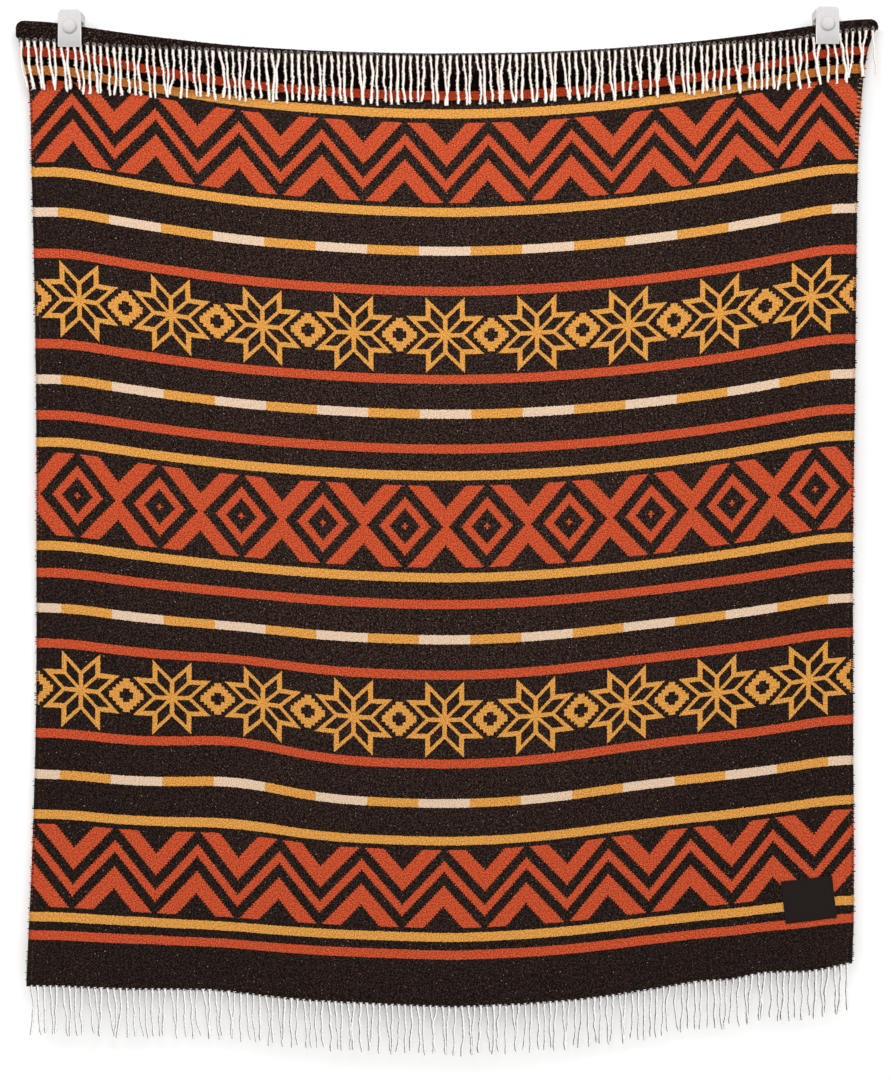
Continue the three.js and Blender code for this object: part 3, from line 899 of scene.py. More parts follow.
class ThrowFringe(bpy.types.PropertyGroup):
    """Sizes and colour of the fringes."""

    strands: number_prop("Strands", "Strands at each end", 130)
    top_long: length_prop("Top Length", "Length of the top fringe's strands", 0.074)
    bottom_long: length_prop("Bottom Length", "Length of the bottom fringe's strands", 0.073)
    top_thick: length_prop("Top Width", "Width of the top fringe's strands", 0.0038)
    bottom_thick: length_prop("Bottom Width", "Width of the bottom fringe's strands", 0.0038)
    flatness: number_prop("Flatness", "Depth of a strand by width", 0.66)
    uneven: length_prop("Unevenness", "How far the strands' lengths differ", 0.004)
    stray: length_prop("Stray", "How far the strands bend and lean", 0.0034)
    turns: number_prop("Turns", "Turns in a strand's twist", 10.0)
    fluff: number_prop("Fluff", "Tufts that stand off each strand", 20)
    top_yarn: colour_prop("Top Yarn", "The top fringe's white yarn", (0.86, 0.81, 0.76))
    # Painted light: the bottom fringe's yarn is paler than the top one's, to make up for the weaker
    # light low down
    bottom_yarn: colour_prop("Bottom Yarn", "The bottom fringe's white yarn", (0.955, 0.945, 0.935))


class ThrowClips(bpy.types.PropertyGroup):
    """Sizes and colours of the wall clips."""

    plate_round: length_prop("Edge Rounding", "How far the plates' edges are rounded", 0.0012)
    chamfer: length_prop("Corner Chamfer", "How far the top corners are cut back", 0.0045)
    wire: length_prop("Wire", "Thickness of the spring's wire", 0.0014)
    plastic: colour_prop("Plastic", "The plates' plastic", (0.56, 0.542, 0.536))
    steel: colour_prop("Steel", "The pin and the spring", (0.62, 0.63, 0.64))


class ThrowStage(bpy.types.PropertyGroup):
    """Light, wall, floor and camera."""

    sky_high: number_prop("Sky", "Strength of the light from above", 1.25)
    sky_low: number_prop("Ground", "Strength of the light from below", 0.50)
    side_power: number_prop("Side Lights", "Power of each of the two side lights", 14.0, unit="POWER")
    top_power: number_prop("Top Light", "Power of the light over the middle", 5.0, unit="POWER")
    camera_back: length_prop("Camera Distance", "From the camera to the clips' front", 2.600)
    frame_tall: length_prop("Frame Height", "What the picture takes in, at the cloth", 1.674)
    floor_level: length_prop("Floor Level", "Height of the floor", -1.900)


def cloth_rows():
    """How far below the fold line each row of the body lies, from the hem up."""
    body = [lerp(HEM_HANG, SHOULDER, i / BODY_ROWS) for i in range(BODY_ROWS)]
    return body + [lerp(SHOULDER, 0, i / SHOULDER_ROWS) for i in range(SHOULDER_ROWS + 1)]


def cloth_columns():
    """Places across the cloth, closer together at its rounded corners."""
    steps = range(BETWEEN_CORNERS + 1)
    even = [lerp(-CORNER_STARTS, CORNER_STARTS, i / BETWEEN_CORNERS) for i in steps]
    corner = [lerp(CORNER_STARTS, 1, (i + 1) / CORNER_COLUMNS) for i in range(CORNER_COLUMNS)]
    return [-across for across in reversed(corner)] + even + corner


def cloth_column(across, sections, thick):
    """One column of the cloth's middle, from the hem over the fold to the flap's edge: each point and
    its place on the cut."""
    radius = (LAYER_GAP + thick) / 2
    sink = thick / 2 + radius + corner_drop(across)
    fold_x = place_on(FOLD_SECTION, across)[0]
    drop = along(FLAP, "x", "drop", fold_x)
    points = []
    for hang, section in sections:
        x, z = place_on(section, across)
        top = max(1 - hang / SHOULDER, 0)
        cut = FOLD_OVER + hang if not top else lerp(FOLD_OVER + SHOULDER, drop + math.pi * radius, top)
        points.append(((x, depth_at(x, z), z - sink * top * top), cut))
    x, y, z = points[-1][0]
    for i in range(1, FOLD_ROWS + 1):
        turn = math.pi * i / FOLD_ROWS
        place = (x, y - radius * (1 - math.cos(turn)), z + radius * math.sin(turn))
        points.append((place, drop + radius * (math.pi - turn)))
    edge_z = flap_edge(across)[1]
    for i in range(1, FLAP_ROWS + 1):
        share = i / FLAP_ROWS
        flap_z = lerp(z, edge_z, share)
        points.append(((x, depth_at(x, flap_z) - 2 * radius, flap_z), drop * (1 - share)))
    return [(place, ((across + 1) / 2, cut / CUT_LONG)) for place, cut in points]


# The cloth faces front where its normal's Y is below this
FACES_FRONT = -0.3
# How far below the flap's edge the fringe's shade starts and ends, each with the run of its fade
FRINGE_SHADE_STARTS = (-0.001, 0.002)
FRINGE_SHADE_ENDS = 0.064
FRINGE_SHADE_FADES = 0.014


def under_fringe(vertex):
    """1 on the front of the cloth where the top fringe keeps the light off it, else 0."""
    if vertex.normal.y > FACES_FRONT:
        return 0
    span = FOLD_SECTION.right_x - FOLD_SECTION.left_x
    edge_z = flap_edge(2 * (vertex.co.x - FOLD_SECTION.left_x) / span - 1)[1]
    below = edge_z - vertex.co.z
    start = smooth(below, *FRINGE_SHADE_STARTS)
    return start * (1 - smooth(below, FRINGE_SHADE_ENDS, FRINGE_SHADE_ENDS + FRINGE_SHADE_FADES))


class ThrowHangCloth(bpy.types.Operator):
    """Hang the cloth: one woven sheet that rises behind, turns over the fold and ends in a flap."""

    bl_idname = "throw.hang_cloth"
    bl_label = "Hang Cloth"

    def execute(self, context):
        settings = context.scene.throw_cloth
        sections = [(hang, section_at(hang)) for hang in cloth_rows()]
        columns = [cloth_column(across, sections, settings.thick) for across in cloth_columns()]
        cloth = grid_object("throw_cloth", columns, "flat_cut")
        apply_modifier(cloth, "SOLIDIFY", thickness=settings.thick, offset=0, use_even_offset=True)
        keep_values(cloth, "under_fringe", [under_fringe(vertex) for vertex in cloth.data.vertices])
        finish_piece(cloth, woven_cloth(settings), "woven_cloth", "blanket")
        return {"FINISHED"}


def tube(path, radii, sides, first_corner, flatness):
    """A closed tube along a path: its corners, its faces and each face's places on the map."""
    corners = []
    for i, (place, radius) in enumerate(zip(path, radii)):
        ahead = path[min(i + 1, len(path) - 1)] - path[max(i - 1, 0)]
        side_way = ahead.cross(Vector((0, 1, 0)))
        if side_way.length < 0.2 * ahead.length:
            side_way = ahead.cross(Vector((0, 0, 1)))
        side_way.normalize()
        front_way = ahead.cross(side_way).normalized()
        for side in range(sides):
            turn = 2 * math.pi * side / sides
            out = side_way * math.cos(turn) + front_way * (flatness * math.sin(turn))
            corners.append(place + radius * out)
    faces, places = [], []
    last = len(path) - 1
    for i in range(last):
        for side in range(sides):
            other = (side + 1) % sides
            start, end = first_corner + i * sides, first_corner + (i + 1) * sides
            faces.append((start + side, start + other, end + other, end + side))
            left, right = side / sides, (side + 1) / sides
            top, bottom = i / last, (i + 1) / last
            places += [(left, top), (right, top), (right, bottom), (left, bottom)]
    faces.append(tuple(first_corner + side for side in reversed(range(sides))))
    faces.append(tuple(first_corner + last * sides + side for side in range(sides)))
    places += [(0.5, 0)] * sides + [(0.5, 1)] * sides
    return corners, faces, places


def tubes_object(name, tubes, sides, family):
    """Many tubes as one piece. Each is a path, its radii, its depth by its width, and its tint. The
    family names the piece's map and its tint."""
    corners, faces, places, tints = [], [], [], []
    for path, radii, flatness, tint in tubes:
        more_corners, more_faces, more_places = tube(path, radii, sides, len(corners), flatness)
        corners += more_corners
        faces += more_faces
        places += more_places
        tints += [tint] * len(more_corners)
    made = mesh_object(name, corners, faces, family, places)
    keep_values(made, f"{family}_tint", tints)
    return made


STRAND_SIDES = 6
STRAND_STEPS = 12
# A strand's thickness from its root to its tip, as a share of its usual one
STRAND_SHAPE = (1.42, 1.18, 0.92, 1.0, 0.94, 1.03, 0.96, 1.05, 0.94, 1.0, 0.98, 1.20, 0.80)
STRAND_ROUGHNESS = (1 - 0.22, 1 + 0.22)
PAIRED_SHARE = 0.17
FRINGE_SPREAD = 0.995


def strand_across(i, count):
    """Where a strand is across the cloth: the outer ones are a little way in from its sides."""
    return FRINGE_SPREAD * (2 * (i + 0.5) / count - 1)


def strand_leans(settings, end, chance):
    """How far each strand's tip lies beside its root, with the clumps and the chance pairs drawn in."""
    count = settings.strands
    roots = [end.edge(strand_across(i, count))[0] for i in range(count)]
    tips = [x + along(end.leans, "x", "lean", x) + settings.stray * chance.gauss(0, 0.6) for x in roots]
    i = 1
    while i < count - 2:
        if chance.random() < PAIRED_SHARE:
            middle = (tips[i] + tips[i + 1]) / 2
            pull = chance.uniform(0.6, 1.15)
            tips[i:i + 2] = [lerp(tip, middle, pull) for tip in tips[i:i + 2]]
            i += 1
        i += 1
    for clump in end.clumps:
        middle = clump.x + along(end.leans, "x", "lean", clump.x)
        for i, x in enumerate(roots):
            if abs(x - clump.x) < clump.wide:
                tips[i] = lerp(tips[i], middle, clump.pull)
    return [tip - x for tip, x in zip(tips, roots)]


FLUFF_LONG = 0.0027
FLUFF_RADIUS = 0.0010
FLUFF_SIDES = 3


def fluff(path, radii, count, chance):
    """Small tufts that stand off a strand to either side and droop."""
    fibres = []
    for _ in range(count):
        step = chance.randint(1, len(path) - 2)
        place = path[step].lerp(path[step + 1], chance.random())
        side = chance.choice((-1, 1))
        out = radii[step] * 0.6
        start = place + Vector((side * out, -0.3 * out, 0))
        droop = chance.uniform(-1.1, 0.3)
        reach = Vector((side, chance.uniform(-0.5, 0.1), droop)).normalized()
        tip = start + reach * FLUFF_LONG * chance.uniform(0.55, 1.0)
        radius = FLUFF_RADIUS * chance.uniform(0.6, 1.1)
        fibres.append(([start, tip], [radius, radius * 0.6], 1, 0))
    return fibres


def fringe_strands(settings, end, leans):
    """One fringe's strands and their fluff."""
    chance = random.Random(end.seed)
    strands, fibres = [], []
    for i, lean in enumerate(leans):
        root_x, root_z = end.edge(strand_across(i, len(leans)))
        length = end.long + settings.uneven * chance.uniform(-1, 1)
        bow = settings.stray * chance.gauss(0, 0.5)
        kink = settings.stray * chance.uniform(0.12, 0.3)
        phase = chance.uniform(0, 2 * math.pi)
        bends = chance.uniform(1.4, 2.6)
        plump = end.thick / 2 * chance.uniform(0.86, 1.12)
        path = []
        for step in range(STRAND_STEPS + 1):
            share = step / STRAND_STEPS
            wave = math.sin(phase + bends * 2 * math.pi * share)
            sway = bow * math.sin(math.pi * share) + kink * wave
            x = root_x + lean * share ** 1.3 + sway * min(3 * share, 1)
            z = root_z + end.lap - (length + end.lap) * share
            out = 0.4 * kink * math.cos(phase + 9 * share)
            path.append(Vector((x, end.depth(x, z, share) - out, z)))
        radii = [plump * size * chance.uniform(*STRAND_ROUGHNESS) for size in STRAND_SHAPE]
        strands.append((path, radii, settings.flatness, 0))
        fibres += fluff(path, radii, end.tufts, chance)
    return strands, fibres


LOOP_RADIUS = 0.0010
LOOP_RISE = 0.0040
LOOP_HALF = 0.0025
HEM_KNOT_RISE = 0.0018
LOOP_TURNS = (-0.15, 0.12, 0.35, 0.5, 0.65, 0.88, 1.15)
LOOP_JITTER = 0.0010


def root_loops(count, end, chance):
    """Small knotted loops round the strands' roots, on the front of the cloth."""
    loops = []
    for i in range(count):
        x, z = end.edge(strand_across(i, count))
        half = LOOP_HALF * chance.uniform(0.8, 1.15)
        tall = end.loop_room(x) * chance.uniform(0.8, 1.1)
        aside = LOOP_HALF * chance.uniform(-0.3, 0.3)
        twist = chance.uniform(-0.25, 0.25)
        path = []
        for turn in LOOP_TURNS:
            out, up = math.cos(math.pi * turn), math.sin(math.pi * turn)
            at_x = x + aside + half * (out + twist * up) + LOOP_JITTER * chance.uniform(-1, 1)
            at_z = z + tall * up + LOOP_JITTER * chance.uniform(-1, 1)
            face = depth_at(at_x, at_z) - end.face_out
            path.append(Vector((at_x, face - LOOP_RADIUS * (0.5 + 0.4 * out), at_z)))
        radii = [LOOP_RADIUS * chance.uniform(0.6, 1.3) for _ in path]
        loops.append((path, radii, 1, chance.uniform(0.84, 1.0)))
    return loops


# How a strand's sides get painted shade: its colour, where each side's starts and ends on the map, and
# how much
TOP_SIDES = SimpleNamespace(
    colour=(0.50, 0.33, 0.24), left=(0.21, 0.11), left_dark=0.85, right=(0.34, 0.44), right_dark=0.70
)
BOTTOM_SIDES = SimpleNamespace(
    colour=(0.030, 0.018, 0.014), left=(0.24, 0.17), left_dark=0.98, right=(0.41, 0.48), right_dark=0.45
)
HEM_LAP = 0.0024
# Each fringe stands off the cloth at its roots, and swings out or in by this much at its tips
TOP_STANDS_OFF = 0.0001
TOP_SWINGS_OUT = 0.0004
BOTTOM_STANDS_OFF = 0.0003
BOTTOM_SWINGS_IN = 0.001
# Over this share of its length a bottom strand passes from the front of the hem to below it
OVER_HEM = (0.02, 0.16)
# The bottom strands take the cloth's depth from no further below the hem's middle than this
BELOW_HEM = 0.02
# How much of the flap stays clear above the root loops
FLAP_SPARE = 0.001
FRINGE_SEED = 5


def top_fringe(settings, thick):
    """What is particular to the top fringe. depth gives a strand's own depth, lap is how far above the
    edge its root starts, loop_room is how tall its root's loop is, and face_out is how far off the
    cloth's middle that loop lies."""

    def depth(x, z, share):
        return depth_at(x, z) - LAYER_GAP - thick - TOP_STANDS_OFF - TOP_SWINGS_OUT * share

    return SimpleNamespace(
        name="top", edge=flap_edge, leans=TOP_LEANS, clumps=TOP_CLUMPS, seed=11, depth=depth,
        long=settings.top_long, thick=settings.top_thick, lap=0, tufts=settings.fluff,
        yarn=settings.top_yarn, sides=TOP_SIDES, face_out=LAYER_GAP + 1.5 * thick,
        loop_room=lambda x: min(LOOP_RISE, along(FLAP, "x", "drop", x) - FLAP_SPARE),
    )


def bottom_fringe(settings, thick):
    """What is particular to the bottom fringe, as for the top one. It has only a fifth of the tufts."""

    def depth(x, z, share):
        over = (1 - smooth(share, *OVER_HEM)) * (thick / 2 + BOTTOM_STANDS_OFF)
        return depth_at(x, max(z, HEM_SECTION.middle_z - BELOW_HEM)) + BOTTOM_SWINGS_IN * share - over

    return SimpleNamespace(
        name="bottom", edge=hem_edge, leans=BOTTOM_LEANS, clumps=BOTTOM_CLUMPS, seed=23, depth=depth,
        long=settings.bottom_long, thick=settings.bottom_thick, lap=HEM_LAP, tufts=settings.fluff // 5,
        yarn=settings.bottom_yarn, sides=BOTTOM_SIDES, face_out=thick / 2,
        loop_room=lambda x: HEM_KNOT_RISE,
    )


class ThrowAddFringes(bpy.types.Operator):
    """Add the fringes: twisted strands under the flap's edge and under the hem."""

    bl_idname = "throw.add_fringes"
    bl_label = "Add Fringes"

    def execute(self, context):
        settings = context.scene.throw_fringe
        thick = context.scene.throw_cloth.thick
        chance = random.Random(FRINGE_SEED)
        ends = (top_fringe(settings, thick), bottom_fringe(settings, thick))
        leans = [strand_leans(settings, end, chance) for end in ends]
        for end, end_leans in zip(ends, leans):
            strands, fibres = fringe_strands(settings, end, end_leans)
            strands += root_loops(settings.strands, end, chance)
            material = fringe_yarn(settings, f"{end.name}_yarn", end.yarn, end.sides)
            fringe = tubes_object(f"{end.name}_fringe_yarn", strands, STRAND_SIDES, "strand")
            loose = tubes_object(f"{end.name}_fringe_fluff", fibres, FLUFF_SIDES, "strand")
            finish_piece(fringe, material, "fringe_yarn", f"{end.name}_fringe", sharp=75)
            finish_piece(loose, material, "fringe_yarn", sharp=75)
        return {"FINISHED"}


STITCH_SIDES = 4
STITCH_BITE = 0.0034
PALE_STITCH_BITE = 0.0060
STITCH_RADIUS = 0.0009
STITCH_SLANT = 0.0026
STITCH_STANDS_OUT = 0.0026
TUFT_PITCH = 0.0036
TUFT_RADIUS = 0.00085
# A stitch round the edge: how far out, how deep and how far up each of its points lies. The one beyond
# the edge stands out further by chance.
STITCH_OUTLINE = (
    (-1.0, -0.55, 0.5), (-0.5, -1.0, 0.2), (0.06, 0, 0), (-0.5, 1.0, -0.2), (-1.0, 0.55, -0.5),
)
STITCHES_START = 0.006
STITCH_SEED = 41
TUFT_SPREAD = 0.99
# On the right edge the pale yarns are caught by the stitches over this stretch below the fold
PALE_STITCHES = (0.070, 0.226)
PALE_ORDER = ("ochre", "dark", "ochre", "dark", "cream", "dark")
BAND_ORDER = ("rust", "dark")


def side_yarn(cut, number):
    """The yarn of one stitch on a side: it takes up the colours that end there."""
    from_middle = abs(cut - CUT_LONG / 2) / MM
    for yarn, middles in (("rust", RUST_STRIPES), ("ochre", OCHRE_STRIPES), ("cream", BLOCK_STRIPES)):
        if any(abs(from_middle - middle) < STRIPE_HALF for middle in middles):
            return yarn
    if any(abs(from_middle - middle) < ZIGZAG_HALF for middle in ZIGZAG_BANDS):
        return BAND_ORDER[number % len(BAND_ORDER)]
    return "dark"


def edge_tuft(start, away, chance):
    """A short dark tuft that stands a little off an edge of the cloth."""
    reach = TUFT_RADIUS * chance.uniform(0.8, 2.4)
    lean = Vector((chance.uniform(-0.8, 0.8), chance.uniform(-0.4, 0.4), chance.uniform(-0.5, 0.5)))
    radius = TUFT_RADIUS * chance.uniform(0.7, 1.15)
    tip = start + away * reach + lean * TUFT_RADIUS
    return [start - away * TUFT_RADIUS, tip], [radius, radius * 0.7], 1, STITCH_TINTS["dark"]


def fold_tufts(settings, chance):
    """Tufts along the top of the fold, from corner to corner."""
    radius = (LAYER_GAP + settings.thick) / 2
    span = FOLD_SECTION.right_x - FOLD_SECTION.left_x
    count = int(span / TUFT_PITCH)
    tufts = []
    for i in range(count):
        across = TUFT_SPREAD * (2 * (i + chance.random()) / count - 1)
        x, z = place_on(FOLD_SECTION, across)
        top = Vector((x, depth_at(x, z) - radius, z - corner_drop(across) - TUFT_RADIUS))
        tufts.append(edge_tuft(top, Vector((0, 0, 1)), chance))
    return tufts


def hem_tufts(chance):
    """Tufts along the hem, between the strands' roots."""
    count = int((HEM_SECTION.right_x - HEM_SECTION.left_x) / TUFT_PITCH)
    tufts = []
    for i in range(count):
        x, z = hem_edge(2 * (i + chance.random()) / count - 1)
        root = Vector((x, depth_at(x, z), z + TUFT_RADIUS))
        tufts.append(edge_tuft(root, Vector((0, 0, -1)), chance))
    return tufts


def edge_stitches(settings, side, chance):
    """The stitches round one side of the cloth, from the flap's end down to the hem."""
    proud = settings.thick / 2 + STITCH_RADIUS * 0.8
    top_z = FOLD_SECTION.left_z if side < 0 else FOLD_SECTION.right_z
    first = top_z - flap_edge(side)[1]
    count = int((HEM_HANG - first - STITCHES_START) / settings.stitch_pitch)
    stitches = []
    for i in range(count):
        hang = first + STITCHES_START + i * settings.stitch_pitch
        x, z = place_on(section_at(hang), side)
        pale = side > 0 and PALE_STITCHES[0] < hang < PALE_STITCHES[1]
        bite = (PALE_STITCH_BITE if pale else STITCH_BITE) * chance.uniform(0.85, 1.1)
        slant = STITCH_SLANT * chance.uniform(0.8, 1.2)
        stands_out = STITCH_STANDS_OUT * chance.random() ** 3 / bite
        path = []
        for out, deep, up in STITCH_OUTLINE:
            at_x = x + side * (out + stands_out if out > 0 else out) * bite
            path.append(Vector((at_x, depth_at(at_x, z) + deep * proud, z + up * slant)))
        yarn = PALE_ORDER[i % len(PALE_ORDER)] if pale else side_yarn(FOLD_OVER + hang, i)
        radii = [STITCH_RADIUS * chance.uniform(0.85, 1.15)] * len(path)
        stitches.append((path, radii, 1, STITCH_TINTS[yarn]))
    return stitches


class ThrowOverlockEdges(bpy.types.Operator):
    """Overlock the sides: slanting loops of thread round the cut edges."""

    bl_idname = "throw.overlock_edges"
    bl_label = "Overlock Edges"

    def execute(self, context):
        settings = context.scene.throw_cloth
        chance = random.Random(STITCH_SEED)
        pieces = [
            ("left_edge_overlock", edge_stitches(settings, -1, chance), STITCH_SIDES),
            ("right_edge_overlock", edge_stitches(settings, 1, chance), STITCH_SIDES),
            ("edge_fluff", fold_tufts(settings, chance) + hem_tufts(chance), FLUFF_SIDES),
        ]
        material = edge_thread(settings)
        for name, tubes, sides in pieces:
            made = tubes_object(name, tubes, sides, "stitch")
            finish_piece(made, material, "woven_cloth", sharp=80)
        return {"FINISHED"}


LABEL_COLUMNS = 20
LABEL_ROWS = 16
LABEL_HEM = 0.0028
LABEL_STITCH_PITCH = 0.0042
LABEL_STITCH_LONG = 0.0028
LABEL_STITCH_RADIUS = 0.00035
LABEL_STITCH_LIFT = 0.0002


def label_place(across, up, off):
    """A place on the tilted label, from its middle, and how far off the cloth's middle it lies."""
    x = LABEL_PLACE[0] + across * math.cos(LABEL_TILT) - up * math.sin(LABEL_TILT)
    z = LABEL_PLACE[1] + across * math.sin(LABEL_TILT) + up * math.cos(LABEL_TILT)
    return Vector((x, depth_at(x, z) - off, z))


class ThrowSewLabel(bpy.types.Operator):
    """Sew on the label: blank tape, low on the right, with a line of stitches round it."""

    bl_idname = "throw.sew_label"
    bl_label = "Sew Label"

    def execute(self, context):
        settings = context.scene.throw_cloth
        wide, tall, thick = settings.label_wide, settings.label_tall, settings.label_thick
        off = settings.thick / 2 + LABEL_GAP + thick / 2

        def point(across, up):
            return label_place((across - 0.5) * wide, (up - 0.5) * tall, off), (across, up)

        columns = [
            [point(c / LABEL_COLUMNS, r / LABEL_ROWS) for r in range(LABEL_ROWS + 1)]
            for c in range(LABEL_COLUMNS + 1)
        ]
        label = grid_object("blank_label", columns, "tape_face")
        apply_modifier(label, "SOLIDIFY", thickness=thick, offset=0)
        apply_modifier(label, "BEVEL", width=0.25 * thick, segments=2, limit_method="ANGLE")
        finish_piece(label, label_tape(settings), "label_tape", "label_patch")

        half_wide, half_tall = wide / 2 - LABEL_HEM, tall / 2 - LABEL_HEM
        ring = [(x * half_wide, z * half_tall) for x, z in ((-1, -1), (1, -1), (1, 1), (-1, 1))]
        above = off + thick / 2
        stitches = []
        for start, end in zip(ring, ring[1:] + ring[:1]):
            run = math.dist(start, end)
            count = int(run / LABEL_STITCH_PITCH)
            for i in range(count):
                low = (i + 0.5) / count - LABEL_STITCH_LONG / run / 2
                high = low + LABEL_STITCH_LONG / run
                path = []
                for at, lift in ((0, -1), (0.3, 1), (0.7, 1), (1, -1)):
                    x, z = (lerp(start[k], end[k], lerp(low, high, at)) for k in (0, 1))
                    path.append(label_place(x, z, above + lift * LABEL_STITCH_LIFT))
                stitches.append((path, [LABEL_STITCH_RADIUS] * len(path), 1, 0))
        sewing = tubes_object("label_stitches", stitches, STITCH_SIDES, "stitch")
        finish_piece(sewing, edge_thread(settings), "label_tape", sharp=80)
        return {"FINISHED"}


def add_block(low, high):
    """A block between two corners."""
    block = add_shape("cube", size=1)
    with editing():
        bpy.ops.transform.resize(value=[h - l for l, h in zip(low, high)])
        bpy.ops.transform.translate(value=[(h + l) / 2 for l, h in zip(low, high)])
    return block


def select_parts(made, kind, test):
    """In edit mode, selects only the faces, or the edges, that a test picks."""
    bpy.ops.mesh.select_mode(type="FACE" if kind == "faces" else "EDGE")
    bpy.ops.mesh.select_all(action="DESELECT")
    shape = bmesh.from_edit_mesh(made.data)
    for part in filter(test, getattr(shape, kind)):
        part.select_set(True)
    bmesh.update_edit_mesh(made.data)


def bevel_edges(made, test, offset, segments):
    """Bevels the edges that a test picks by their middles."""
    with editing():
        select_parts(made, "edges", lambda edge: test((edge.verts[0].co + edge.verts[1].co) / 2))
        bpy.ops.mesh.bevel(offset=offset, offset_type="OFFSET", segments=segments)


def combine(made, tool, operation):
    """Joins or cuts a piece with another closed one, which is used up."""
    apply_modifier(made, "BOOLEAN", object=tool, operation=operation, solver="EXACT")
    bpy.data.objects.remove(tool)


# An edge is at a plate's corner if it is beyond this share of the way there
NEARLY = 0.99
TINY = 1e-5
BORE_SIDES = 32


def clip_plate(front_y, back_y, half_wide, half_tall, settings):
    """A plate with its two top corners cut back and all its edges rounded."""
    plate = add_block((-half_wide, front_y, -half_tall), (half_wide, back_y, half_tall))

    def at_top_corner(middle):
        return abs(middle.x) > half_wide * NEARLY and middle.z > half_tall * NEARLY

    bevel_edges(plate, at_top_corner, settings.chamfer, 1)
    apply_modifier(plate, "BEVEL", width=settings.plate_round, segments=3, limit_method="ANGLE")
    return plate


def clip_ear(inner_x, outer_x, nose_y, root_y):
    """An ear that carries the pin, with rounded corners at its free end."""
    ear = add_block((inner_x, min(nose_y, root_y), EAR_LOW), (outer_x, max(nose_y, root_y), EAR_HIGH))
    ear_middle = (EAR_LOW + EAR_HIGH) / 2

    def at_nose(middle):
        return abs(middle.y - nose_y) < TINY and abs(middle.z - ear_middle) > TINY

    bevel_edges(ear, at_nose, EAR_ROUND, 5)
    return ear


def pin_bore(radius, long, y, z):
    return add_shape(
        "cylinder", vertices=BORE_SIDES, radius=radius, depth=long, rotation=(0, math.pi / 2, 0),
        location=(0, y, z),
    )


BOSS_SIDES = 48
BOSS_RISE = 0.0006
FRONT_FACING = -0.9
# How far in and forward each ring of the boss's dome lies from the one before
BOSS_STEPS = ((0.0007, 0.0013), (0.0014, 0.0012), (0.0022, 0.0010), (0.0026, 0.0006), (0.0024, 0.0002))


def clip_boss(radius, face_y, sunk, up):
    """A low domed boss: a cylinder whose front is drawn in and forward, ring by ring."""
    boss = add_shape(
        "cylinder", vertices=BOSS_SIDES, radius=radius, depth=BOSS_RISE + sunk,
        rotation=(math.pi / 2, 0, 0), location=(0, face_y - BOSS_RISE + (BOSS_RISE + sunk) / 2, up),
    )
    with editing():
        select_parts(boss, "faces", lambda face: face.normal.y < FRONT_FACING)
        for inward, outward in BOSS_STEPS:
            bpy.ops.mesh.inset(thickness=inward, depth=outward)
    return boss


WIRE_SIDES = 8
COIL_SPACING = 1.25
COIL_STEPS = 16


def spring_coil(wire, radius, half, y, z):
    """A wound spring: the wire's round section is turned about the pin and drawn along it."""
    turns = int(2 * half / (wire * COIL_SPACING)) - 1
    pitch = 2 * (half - wire / 2) / turns
    coil = add_shape(
        "circle", vertices=WIRE_SIDES, radius=wire / 2, fill_type="NOTHING",
        rotation=(0, math.pi / 2, 0), location=(0, radius, wire / 2 - half),
    )
    with editing():
        bpy.ops.mesh.select_all(action="SELECT")
        bpy.ops.transform.rotate(value=math.pi / 2, orient_axis="Z", center_override=(0, radius, 0))
    apply_modifier(
        coil, "SCREW", axis="Z", angle=2 * math.pi, screw_offset=pitch, iterations=turns,
        steps=COIL_STEPS, render_steps=COIL_STEPS, use_merge_vertices=False,
    )
    with editing():
        bpy.ops.mesh.select_all(action="SELECT")
        bpy.ops.mesh.fill_holes(sides=WIRE_SIDES)
        bpy.ops.mesh.normals_make_consistent(inside=False)
    coil.rotation_euler = (0, math.pi / 2, 0)
    coil.location = (0, y, z)
    return settle()


def place_copy(pattern, name, clip):
    """A copy of a clip's piece with its own mesh, moved to the clip's place."""
    made = new_object(name, pattern.data.copy())
    pick(made)
    made.location = (clip.x, 0, clip.z)
    return settle()


EAR_WIDE = 0.003
EAR_LOW = 0.012
EAR_HIGH = 0.0265
EAR_ROUND = 0.0028
OUTER_EAR_GAP = 0.0008
INNER_EAR_REACH = 0.006
PIECE_GAP = 0.0003
PLATE_THICK = 0.0032
BASE_THICK = 0.004
JAW_TALL = 0.011
JAW_GAP = 0.0004
JAW_ROUND = 0.7
FRONT_GAP = 0.0006
BOSS_RADIUS = 0.0108
BOSS_UP = 0.0020


